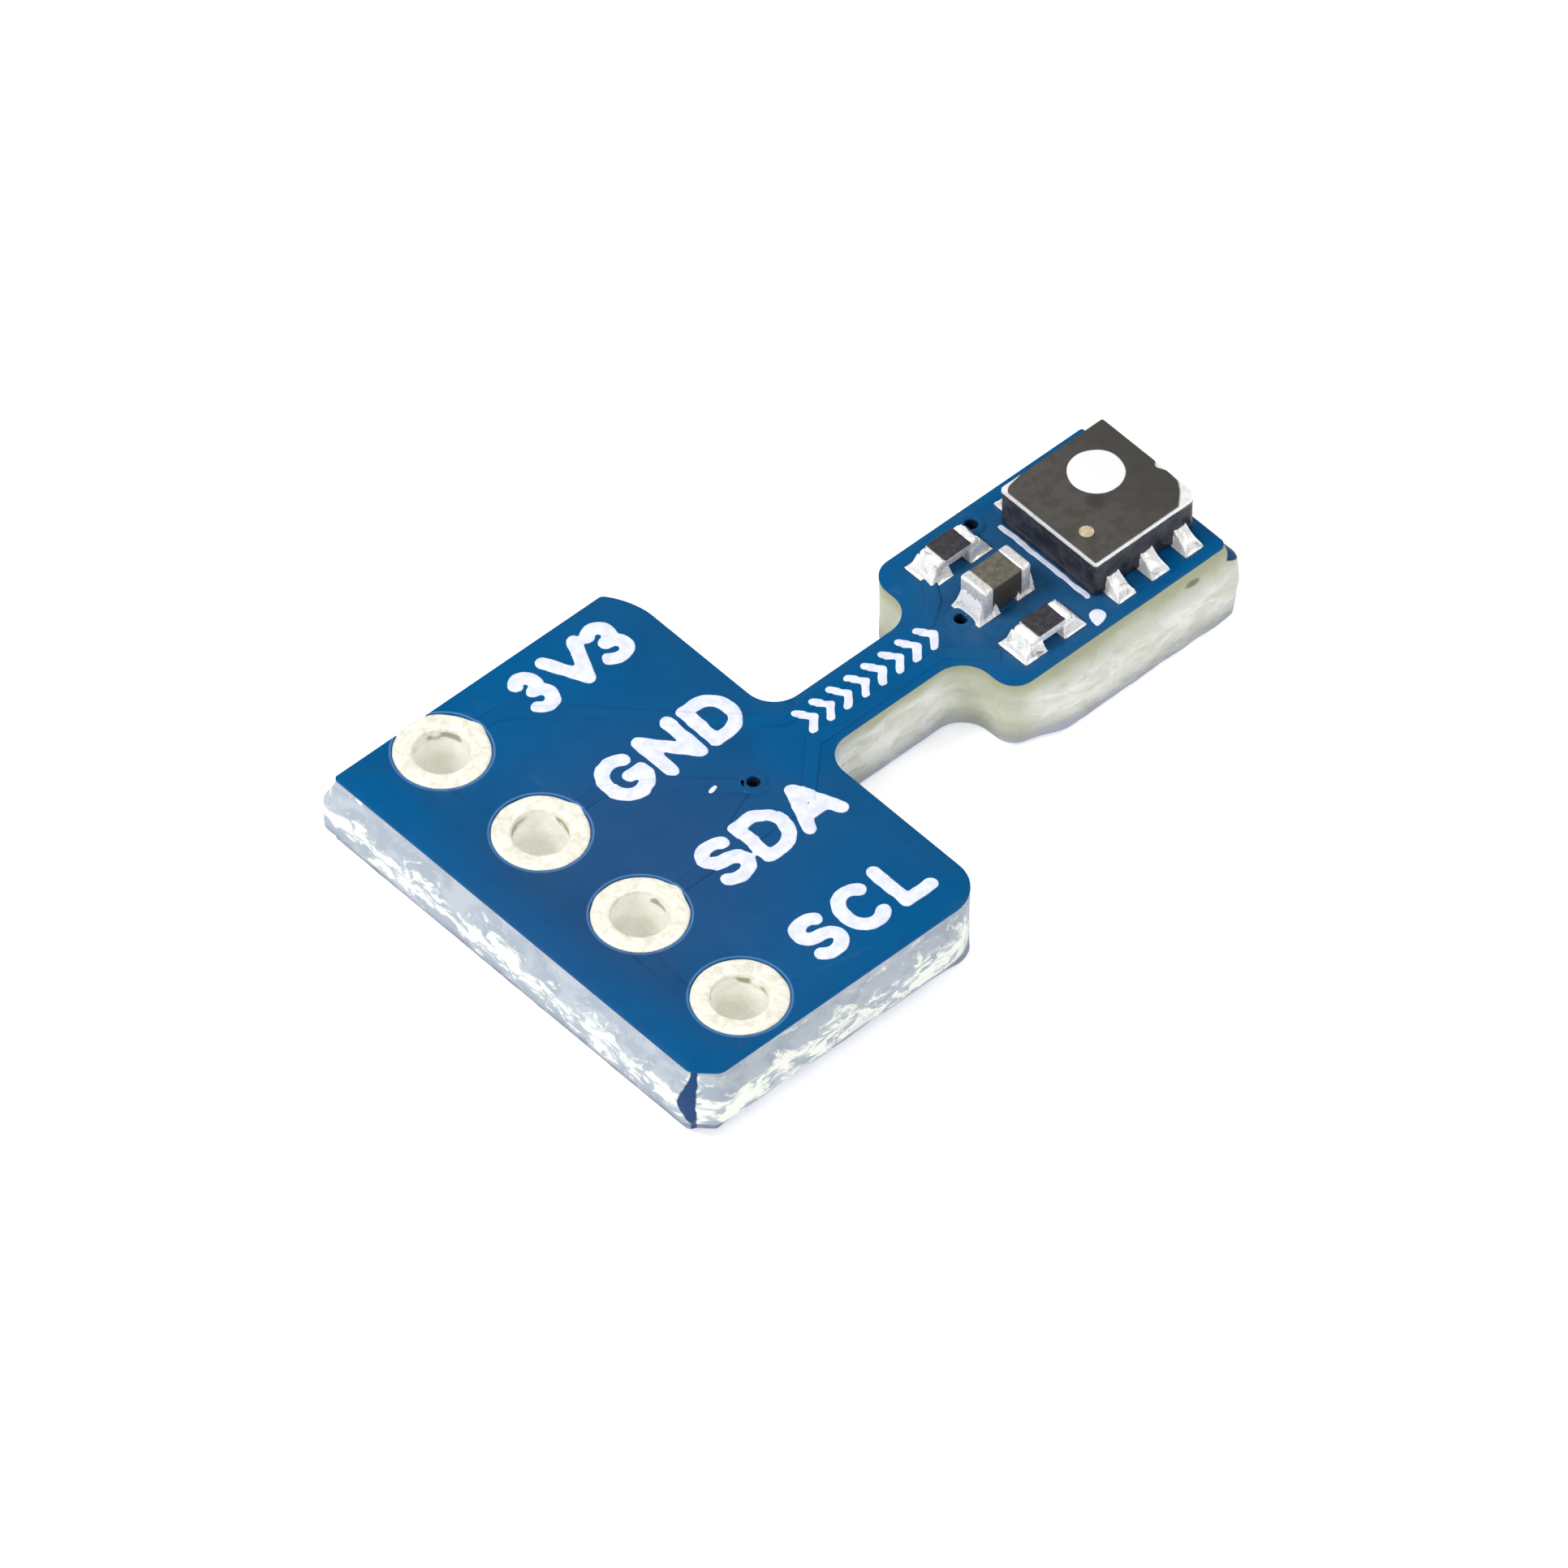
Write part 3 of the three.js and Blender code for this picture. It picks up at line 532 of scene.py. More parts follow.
def bevelled(bm, geom, width, segments, affect="EDGES"):
    return bmesh.ops.bevel(
        bm, geom=geom, offset=width, offset_type="OFFSET", segments=segments, profile=0.5,
        affect=affect, material=-1, clamp_overlap=True,
    )


def roundedBlock(bm, low, high, radius, segments=3):
    low, high = Vector(low), Vector(high)
    made = bmesh.ops.create_cube(bm, size=1.0)["verts"]
    bmesh.ops.scale(bm, verts=made, vec=high - low)
    bmesh.ops.translate(bm, verts=made, vec=(low + high) / 2)
    edges = list({edge for vert in made for edge in vert.link_edges})
    bevelled(bm, edges, radius, segments)


def outlineLoop(bm, corners, z, segments=10):
    """Edges of a flat outline through corners given as (x, y, radius)."""
    start = set(bm.verts)
    verts = [bm.verts.new((x, y, z)) for x, y, _ in corners]
    face = bm.faces.new(verts)
    for vert, (_, _, radius) in zip(verts, corners):
        if radius:
            bevelled(bm, [vert], radius, segments, "VERTICES")
    fresh = [vert for vert in bm.verts if vert not in start]
    edges = list({edge for vert in fresh for edge in vert.link_edges})
    bmesh.ops.delete(bm, geom=[f for f in bm.faces if fresh[0] in f.verts], context="FACES_ONLY")
    return edges


def circleLoop(bm, x, y, radius, z, segments=48):
    verts = bmesh.ops.create_circle(
        bm, cap_ends=False, segments=segments, radius=radius, matrix=Matrix.Translation((x, y, z))
    )["verts"]
    return list({edge for vert in verts for edge in vert.link_edges})


def shortened(bm, edges, longest):
    """Splits the long straight edges, so that a wall made from them can be roughened."""
    for edge in list(edges):
        cuts = int(edge.calc_length() / longest)
        if cuts:
            bmesh.ops.subdivide_edges(bm, edges=[edge], cuts=cuts)


def plate(bm, low, high):
    """Fills the outline and its openings, and gives the sheet its thickness."""
    bmesh.ops.triangle_fill(bm, use_beauty=True, use_dissolve=False, edges=bm.edges[:], normal=(0, 0, 1))
    raised = bmesh.ops.extrude_face_region(bm, geom=bm.faces[:])["geom"]
    lifted = [item for item in raised if isinstance(item, bmesh.types.BMVert)]
    bmesh.ops.translate(bm, verts=lifted, vec=(0, 0, high - low))
    bmesh.ops.recalc_face_normals(bm, faces=bm.faces)


def rimEdges(bm, z):
    """Edges between a flat face at this height and a wall."""
    return [
        edge for edge in bm.edges
        if all(abs(vert.co.z - z) < 0.001 for vert in edge.verts)
        and len(edge.link_faces) == 2
        and any(abs(face.normal.z) < 0.5 for face in edge.link_faces)
    ]


# ---- board ----

boardShape = {
    "blockEnds": (-1.78, 4.8),
    "blockSides": (-4.86, 4.62),
    "headEnds": (8.2, 13.29),
    "headTaper": 0.02,  # the mask's edge runs inward towards the head's far corner
    "headHalf": 1.86,
    "neckHalf": 0.62,
    "cutCorner": 0.40,  # the block's near corner is cut off flat
    "innerCorner": 0.7,
    "neckFillet": 0.6,
    "nearCorner": 0.45,
    "farCorner": 0.06,
    "headCorner": 0.14,
    # how far a scored wall stands out of the mask's outline at its snapped middle and at its foot
    "walls": {
        "blockEnd": (0.27, 0.02),
        "sides": (0.20, -0.10),
        "headSide": (0.30, 0.27),
        "headEnd": (0.26, 0.0),
    },
    "turn": (0.66, 0.74),  # share of the height where the bulge is full, on the block and on the head
    "roughness": 0.022,
    "underInset": 0.17,
    "neckInset": 0.06,
    "maskEdge": 0.02,
    "ringGap": 0.006,
    "landGap": 0.015,
    "viaHole": 0.125,
}
holeNames = ("3v3", "gnd", "sda", "scl")
viaNames = ("gnd_header", "gnd_capacitor", "gnd_sensor", "scl_resistor")
holePlaces = [middleOf(f"header_hole_{name}") for name in holeNames]
viaPlaces = [middleOf(f"via_{name}") for name in viaNames]
boardLow, boardHigh = boxOf("fr4_board")
faceZ = boxOf("solder_mask_top")[1].z
ringRadius = spanOf("header_hole_3v3").x / 2


def boardCorners(inset=0.0):
    shape = boardShape
    (x0, x1), (x2, x3) = shape["blockEnds"], shape["headEnds"]
    near, far = shape["blockSides"]
    x0, x1, x2, x3, near, far = x0 + inset, x1 - inset, x2 + inset, x3 - inset, near + inset, far - inset
    neckHalf, headHalf = shape["neckHalf"] - min(inset, shape["neckInset"]), shape["headHalf"] - inset
    half = [
        (x1, neckHalf, shape["neckFillet"]),
        (x2, neckHalf, shape["neckFillet"]),
        (x2, headHalf, shape["nearCorner"]),
        (x3, headHalf, shape["farCorner"]),
    ]
    cut = shape["cutCorner"]
    right = [(x0, near + cut, 0.10), (x0 + cut, near, 0.10), (x1, near, shape["innerCorner"])]
    left = [(x0, far, 0.06), (x1 - 0.36, far, 0.05), (x1, far - 0.42, 0.5)]
    nearHalf = [(x, -y, radius) for x, y, radius in half]
    nearHalf[-1] = (x3, -headHalf, shape["headCorner"])
    return right + nearHalf + half[::-1] + left[::-1]


def landBox(node):
    low, high = (corner.copy() for corner in boxOf(node))
    if node == "capacitor_solder_right":  # this joint hardly shows past its end cap
        capLow, capHigh = boxOf("capacitor_cap_right")
        high.x = capHigh.x + 0.06
        low.y, high.y = capLow.y - 0.03, capHigh.y + 0.03
    return low, high


def chipLands():  # bare lands under the solder joints, as (low corner, high corner)
    names = [f"{chip}_solder_{side}" for chip in ("resistor_scl", "resistor_sda", "capacitor")
             for side in ("left", "right")]
    return [landBox(name) for name in names + [f"sensor_solder_{pin}" for pin in range(1, 7)]]


def smooth(value, low, high):
    share = min(1.0, max(0.0, (value - low) / (high - low)))
    return share * share * (3 - 2 * share)


def scoredShare(spot):  # 1 on the scored walls, 0 on the routed ones
    shape = boardShape
    onBlock = smooth(spot.x, shape["blockEnds"][1] - 0.25, shape["blockEnds"][1] - 1.1)
    onHead = smooth(spot.x, shape["headEnds"][0] + 0.3, shape["headEnds"][0] + 1.2)
    return max(onBlock, onHead)


def wallReach(spot, out, share):  # how far a wall stands out at this share of its height
    walls = boardShape["walls"]
    onHead = spot.x > 6.0
    ends = walls["headEnd"] if onHead else walls["blockEnd"]
    sides = walls["headSide"] if onHead and out.y < 0 else walls["sides"]
    if (out.x > 0) != onHead:
        ends = walls["sides"]
    web, foot = (end * out.x ** 2 + side * out.y ** 2 for end, side in zip(ends, sides))
    scored = smooth(share, 1.0, boardShape["turn"][onHead]) * (foot + (web - foot) * smooth(share, 0.0, 0.35))
    return scored * scoredShare(spot)


def makeCore():
    bm = bmesh.new()
    shortened(bm, outlineLoop(bm, boardCorners(), boardLow.z), 0.10)
    for centre in holePlaces:
        circleLoop(bm, centre.x, centre.y, 0.532, boardLow.z)
    for centre in viaPlaces:
        circleLoop(bm, centre.x, centre.y, 0.157, boardLow.z, 24)
    plate(bm, boardLow.z, boardHigh.z)
    levels = 14
    for step in range(1, levels):
        height = boardLow.z + (boardHigh.z - boardLow.z) * step / levels
        walls = [face for face in bm.faces if abs(face.normal.z) < 0.5]
        around = list({edge for face in walls for edge in face.edges})
        verts = list({vert for edge in around for vert in edge.verts})
        bmesh.ops.bisect_plane(bm, geom=verts + around + walls, dist=0.0001,
                               plane_co=(0, 0, height), plane_no=(0, 0, 1))
        bm.normal_update()
    moves = []
    for vert in bm.verts:
        walls = [face for face in vert.link_faces if abs(face.normal.z) < 0.5]
        inBore = any((vert.co.xy - centre.xy).length < 0.56 for centre in holePlaces)
        inVia = any((vert.co.xy - centre.xy).length < 0.2 for centre in viaPlaces)
        if not walls or inBore or inVia:
            continue
        out = sum((face.normal for face in walls), Vector())
        out.z = 0
        out.normalize()
        share = (vert.co.z - boardLow.z) / (boardHigh.z - boardLow.z)
        reach = wallReach(vert.co, out, share)
        out /= max(0.6, min(out.dot(face.normal) for face in walls))
        coarse = noise.noise(Vector((vert.co.x * 1.6, vert.co.y * 1.6, vert.co.z * 3.0)))
        fine = noise.noise(Vector((vert.co.x * 5.0, vert.co.y * 5.0, vert.co.z * 9.0)) + Vector((7, 3, 1)))
        torn = boardShape["roughness"] * (0.5 + 0.5 * coarse + 0.35 * fine) * (1 + 5 * max(0.0, reach))
        moves.append((vert, out * (reach * (1 + 0.2 * coarse) - torn)))
    for vert, move in moves:
        vert.co += move
    finishPiece(bm, "board_core", "board", ["fr4_board"], sharp=50)


def maskCorners(opening, inset):
    """The board's outline, let in where the last ring's opening runs over the scored edge."""
    corners = boardCorners(inset)
    tapered = [i for i, (x, y, _) in enumerate(corners) if x > boardShape["headEnds"][0] + 2 and y < 0][0]
    x, y, radius = corners[tapered]
    corners[tapered] = (x, y + boardShape["headTaper"], radius)
    centre = holePlaces[0]
    far = boardShape["blockSides"][1] - inset
    start = math.acos((far - centre.y) / opening)
    steps = 48
    notch = []
    for step in range(steps + 1):
        angle = math.pi / 2 - start - (2 * math.pi - 2 * start) * step / steps
        notch.append((centre.x + opening * math.cos(angle), centre.y + opening * math.sin(angle), 0))
    return corners[:-1] + notch + corners[-1:]


def makeMask(name, node, low, high, landLoops, inset=0.0):
    bm = bmesh.new()
    opening = ringRadius + boardShape["ringGap"]
    outlineLoop(bm, maskCorners(opening, inset), low)
    for centre in holePlaces[1:]:
        circleLoop(bm, centre.x, centre.y, opening, low, 64)
    for centre in viaPlaces:
        circleLoop(bm, centre.x, centre.y, boardShape["viaHole"], low, 24)
    for landLow, landHigh in landLoops:
        gap = boardShape["landGap"]
        x0, y0, x1, y1 = landLow.x - gap, landLow.y - gap, landHigh.x + gap, landHigh.y + gap
        outlineLoop(bm, [(x, y, 0.05) for x, y in ((x0, y0), (x1, y0), (x1, y1), (x0, y1))], low, 4)
    plate(bm, low, high)
    seen = high if high > 1 else low
    bevelled(bm, rimEdges(bm, seen), boardShape["maskEdge"], 3)
    finishPiece(bm, name, "mask", [node], sharp=60)


makeCore()
makeMask("mask_component_side", "solder_mask_top", boardHigh.z, faceZ, chipLands())
makeMask("mask_underside", "solder_mask_bottom", 0.0, boardLow.z, [], boardShape["underInset"])
print("board ready")


# ---- relief of the tracks under the mask ----

relief = {
    "height": 0.030,
    "slope": 0.035,
    "width": 0.22,
    "viaRing": 0.26,
    "paths": {
        "supply": [(0.9, 3.81), (1.25, 3.80), (2.18, 3.06), (3.2, 1.95), (4.45, 0.66), (4.85, 0.34), (8.2, 0.34),
                   (8.62, 0.62), (8.9, 1.05)],
        "ground": [(0.9, 1.27), (1.35, 1.27), (2.3, 0.68), (3.3, -0.30)],
        "data": [(0.9, -1.27), (1.6, -1.27), (3.9, -1.27), (4.45, -0.78), (4.87, -0.36), (7.9, -0.36), (8.62, -1.08)],
    },
}


def reliefAt(x, y):
    """Height of the nearest track's relief, for the ink that is printed over it."""
    spot = Vector((x, y))
    nearest = 9.0
    for path in relief["paths"].values():
        for first, second in zip(path, path[1:]):
            first, second = Vector(first), Vector(second)
            along = second - first
            share = min(1.0, max(0.0, (spot - first).dot(along) / along.length_squared))
            nearest = min(nearest, (spot - first - along * share).length)
    half, slope = relief["width"] / 2, relief["slope"]
    return relief["height"] * (1 - smooth(nearest, half - slope * 0.3, half + slope))


def bridged(bm, rings):  # a closed body through rings of points
    loops = []
    for ring in rings:
        verts = [bm.verts.new(spot) for spot in ring]
        loops.append([bm.edges.new(pair) for pair in zip(verts, verts[1:] + verts[:1])])
    for first, second in zip(loops, loops[1:]):
        bmesh.ops.bridge_loops(bm, edges=first + second)
    for end in (loops[0], loops[-1]):
        bmesh.ops.edgeloop_fill(bm, edges=end)


def sweep(bm, path, section):
    points = [Vector(spot) for spot in path]
    rows = []
    for i, point in enumerate(points):
        before = (point - points[i - 1]).normalized() if i else None
        after = (points[i + 1] - point).normalized() if i + 1 < len(points) else None
        along = ((before or after) + (after or before)).normalized()
        across = Vector((-along.y, along.x))
        straight = Vector((-(after or before).y, (after or before).x))
        stretch = 1 / max(0.5, across.dot(straight))
        rows.append([(*(point + across * offset * stretch), z) for offset, z in section])
    bridged(bm, rows)


def makeRelief():
    half, slope, height = relief["width"] / 2, relief["slope"], relief["height"]
    hump = [(half + slope, 0.0), (half + slope * 0.55, height * 0.4), (half + slope * 0.2, height * 0.85),
            (half - slope * 0.3, height)]
    section = [(-half - slope, faceZ - 0.01)] + [(-x, faceZ + z) for x, z in hump]
    section += [(x, faceZ + z) for x, z in hump[::-1]] + [(half + slope, faceZ - 0.01)]
    for name, path in relief["paths"].items():
        bm = bmesh.new()
        sweep(bm, path, section)
        finishPiece(bm, f"track_relief_{name}", "mask", sharp=60)
    outer, hole = relief["viaRing"], boardShape["viaHole"]
    for name, centre in zip(viaNames[:2] + viaNames[3:], viaPlaces[:2] + viaPlaces[3:]):
        profile = [(hole, -0.01), (hole + 0.002, height * 0.5), (hole + 0.02, height), (outer - 0.04, height),
                   (outer - 0.01, height * 0.6), (outer + 0.02, 0.0), (outer + 0.02, -0.01)]
        spun(f"via_relief_{name}", [(r, faceZ + z) for r, z in profile], centre, "mask", 36)


def spun(name, profile, centre, look, steps, replaced=(), shift=None, sharp=40.0):
    bm = bmesh.new()
    verts = [bm.verts.new((r, 0, z)) for r, z in profile]
    edges = [bm.edges.new((verts[i], verts[(i + 1) % len(verts)])) for i in range(len(verts))]
    bmesh.ops.spin(bm, geom=verts + edges, cent=(0, 0, 0), axis=(0, 0, 1), angle=2 * math.pi, steps=steps,
                   use_merge=True)
    for vert in bm.verts if shift else ():
        vert.co = shift(vert.co.copy())
    bmesh.ops.translate(bm, verts=bm.verts, vec=(centre.x, centre.y, 0))
    return finishPiece(bm, name, look, replaced, sharp)


makeRelief()


# ---- plated header holes ----

holeShape = {"bore": 0.5, "back": 0.532, "wander": 0.016, "teardrop": 0.075, "steps": 96}


def makeHole(name, centre, seed, teardrop):
    low, high = boxOf(f"header_hole_{name}")
    bore, outer = holeShape["bore"], ringRadius
    upper = [(bore, 0.70), (bore, 0.50), (bore, 0.32), (bore, 0.18), (bore + 0.003, 0.10), (bore + 0.012, 0.05),
             (bore + 0.030, 0.018), (bore + 0.06, 0.004), (bore + 0.12, 0.0), (bore + 0.19, 0.0),
             (bore + 0.26, 0.002), (outer - 0.055, 0.008), (outer - 0.022, 0.022), (outer - 0.004, 0.042),
             (outer, 0.069), (holeShape["back"], 0.070)]
    profile = [(r, high.z - depth) for r, depth in upper] + [(r, low.z + depth) for r, depth in upper[::-1]]

    def shift(spot):
        radius, angle = spot.xy.length, math.atan2(spot.y, spot.x)
        onFace = abs(spot.z - 0.8) > 0.74
        where = Vector((math.cos(angle) * 1.9, math.sin(angle) * 1.9, seed * 5.0))
        grow = 0.0
        if onFace and radius > outer - 0.06:
            grow = holeShape["wander"] * noise.noise(where * 1.4)
            if spot.z > 0.8 and teardrop:
                grow += holeShape["teardrop"] * math.exp(-((angle / 0.15) ** 2))
        elif radius < bore + 0.02:
            grow = 0.020 * noise.noise(Vector((spot.x * 3, spot.y * 3, spot.z * 2.2 + seed * 9)))
        spot.xy *= (radius + grow) / radius
        if onFace and radius < outer - 0.03:
            spot.z -= math.copysign(0.010, spot.z - 0.8) * abs(noise.noise(Vector((spot.x * 5, spot.y * 5, seed))))
        if spot.z < 0.8:
            spot.y = min(spot.y, boardShape["blockSides"][1] - 0.12 - centre.y)
        return spot

    spun(f"plated_hole_{name}", profile, centre, "tin", holeShape["steps"],
         [f"header_hole_{name}"], shift)


for number, (name, centre) in enumerate(zip(holeNames, holePlaces)):
    makeHole(name, centre, number + 1, name != "scl")
print("relief and header holes ready")


# ---- solder joints ----

def heap(name, node, height, cells, pinch=0.14, seed=0.0, lumps=0.02, edge=0.16):
    # a closed sheet on the land, whose top follows height(x, y)
    low, high = landBox(node)
    centre, half = (low + high) / 2, (high - low) / 2
    bm = bmesh.new()
    bmesh.ops.create_grid(bm, x_segments=cells[0], y_segments=cells[1], size=1.0)
    raised = bmesh.ops.extrude_face_region(bm, geom=bm.faces[:])["geom"]
    lifted = {item for item in raised if isinstance(item, bmesh.types.BMVert)}
    for vert in bm.verts:
        u, v = vert.co.x, vert.co.y
        narrow = pinch if vert in lifted else 0.0
        x = centre.x + half.x * u * (1 - narrow * (1 - v * v))
        y = centre.y + half.y * v * (1 - narrow * (1 - u * u))
        z = low.z
        if vert in lifted:
            rim = min(1.0, (1 - max(abs(u), abs(v))) / edge)
            crown = math.sqrt(rim * (2 - rim))
            bumps = lumps * noise.noise(Vector((x * 7, y * 7, seed)))
            z += 0.008 + max(0.006, height(x, y) + bumps) * (0.15 + 0.85 * crown)
        vert.co = (x, y, z)
    finishPiece(bm, name, "solder", [node], sharp=70, merge=0.0001)


def chipHeap(chip, side, climb, seed):
    node = f"{chip}_solder_{side}"
    low, high = landBox(node)
    capLow, capHigh = boxOf(f"{chip}_cap_{side}")
    reachX = max(capLow.x - low.x, high.x - capHigh.x) * 1.05
    reachY = (high.y - capHigh.y) * 1.05

    def height(x, y):
        dx = max(capLow.x - x, 0.0, x - capHigh.x)
        dy = max(capLow.y - y, 0.0, y - capHigh.y)
        inset = min(x - capLow.x, capHigh.x - x, y - capLow.y, capHigh.y - y)
        if inset > 0.02:
            return 0.0
        away = min(1.0, math.hypot(dx / reachX, dy / reachY))
        sideShare = 1.0 if dx > dy * 0.6 else 0.62
        return 0.03 + 0.07 * (1 - away) + climb * sideShare * (1 - away) ** 1.8

    heap(f"{chip}_joint_{side}", node, height, (30, 36), 0.20, seed, 0.035, 0.22)


def pinHeap(pin, seed):
    node = f"sensor_solder_{pin}"
    low, high = boxOf(node)
    bodyHalf = spanOf("sensor_base").y / 2
    reach = max(abs(low.y), abs(high.y)) - bodyHalf
    middle = (low.x + high.x) / 2

    def height(x, y):
        out = (abs(y) - bodyHalf) / reach
        if out < -0.04:
            return 0.0
        out = min(1.0, max(0.0, out))
        saddle = 0.75 + 0.25 * min(1.0, abs(x - middle) / 0.16) ** 2
        return 0.08 + 0.30 * saddle * (1 - out) ** 1.5

    heap(f"sensor_joint_{pin}", node, height, (30, 40), 0.24, seed, 0.02, 0.22)


climbs = {"resistor_scl": 0.22, "resistor_sda": 0.22, "capacitor": 0.36}
seed = 0
for chip, climb in climbs.items():
    for side in ("left", "right"):
        seed += 3.7
        chipHeap(chip, side, climb, seed)
for pin in range(1, 7):
    seed += 3.7
    pinHeap(pin, seed)
print("solder ready")


# ---- chips ----

chipShape = {"capRound": 0.085, "capRoundLarge": 0.06, "bodyRound": 0.02, "under": 0.05, "lift": 0.13}


def blockPiece(name, look, low, high, radius, replaced):
    bm = bmesh.new()
    roundedBlock(bm, low, high, radius)
    finishPiece(bm, name, look, replaced, sharp=60)


def makeChips():
    under = Vector((chipShape["under"], 0, 0))
    for chip in ("resistor_scl", "resistor_sda"):
        left, right = boxOf(f"{chip}_cap_left"), boxOf(f"{chip}_cap_right")
        low, high = (corner.copy() for corner in boxOf(f"{chip}_ceramic"))
        coatLow, coatHigh = (corner.copy() for corner in boxOf(f"{chip}_glass_coat"))
        low.x, high.x = left[1].x - under.x, right[0].x + under.x
        low.z += chipShape["lift"]
        coatLow.x -= 0.04
        coatHigh.x += 0.04
        blockPiece(f"{chip}_substrate", "alumina", low, high, 0.012, [f"{chip}_ceramic"])
        blockPiece(f"{chip}_element_coat", "glassCoat", coatLow - Vector((0, 0, 0.01)), coatHigh, 0.012,
                   [f"{chip}_glass_coat"])
        for side, (capLow, capHigh) in (("left", left), ("right", right)):
            blockPiece(f"{chip}_end_{side}", "solder", capLow, capHigh, chipShape["capRound"],
                       [f"{chip}_cap_{side}"])
    left, right = boxOf("capacitor_cap_left"), boxOf("capacitor_cap_right")
    low, high = (corner.copy() for corner in boxOf("capacitor_body"))
    low.x, high.x = left[1].x - under.x, right[0].x + under.x
    blockPiece("capacitor_dielectric", "titanate", low, high, chipShape["bodyRound"], ["capacitor_body"])
    for side, (capLow, capHigh) in (("left", left), ("right", right)):
        blockPiece(f"capacitor_end_{side}", "endCap", capLow, capHigh, chipShape["capRoundLarge"],
                   [f"capacitor_cap_{side}"])


makeChips()
print("chips ready")


# ---- sensor ----

sensorShape = {
    "corner": 0.07,
    "bluntCorner": 0.2,  # the lid's corner at +X, -Y
    "substrate": 0.2,
    "step": 0.012,
    "rim": 0.035,  # bright lid edge around the coat
    "clip": (0.36, 0.36),
    "notchAt": -0.27,
    "notch": (0.09, 0.12),
}


def stack(bm, shape, levels):
    # a closed body from one outline at several (inset, height) levels
    bridged(bm, [[(x, y, z) for x, y in shape(inset)] for inset, z in levels])


def rectShape(low, high, radii, segments=6):
    """Rounded rectangle; the radii belong to the corners (-,-), (+,-), (+,+), (-,+)."""
    def shape(inset):
        points = []
        places = [(low.x, low.y, 180), (high.x, low.y, 270), (high.x, high.y, 0), (low.x, high.y, 90)]
        for (x, y, start), full in zip(places, radii):
            radius = max(0.004, full - inset)
            cx = x + (inset + radius) * (1 if x == low.x else -1)
            cy = y + (inset + radius) * (1 if y == low.y else -1)
            for step in range(segments + 1):
                angle = math.radians(start + 90 * step / segments)
                points.append((cx + radius * math.cos(angle), cy + radius * math.sin(angle)))
        return points
    return shape


def discShape(centre, radius, wander, seed, count=48):
    def shape(inset):
        points = []
        for step in range(count):
            angle = 2 * math.pi * step / count
            wave = noise.noise(Vector((math.cos(angle) * 1.5, math.sin(angle) * 1.5, seed)))
            reach = radius - inset + wander * wave
            points.append((centre.x + reach * math.cos(angle), centre.y + reach * math.sin(angle)))
        return points
    return shape


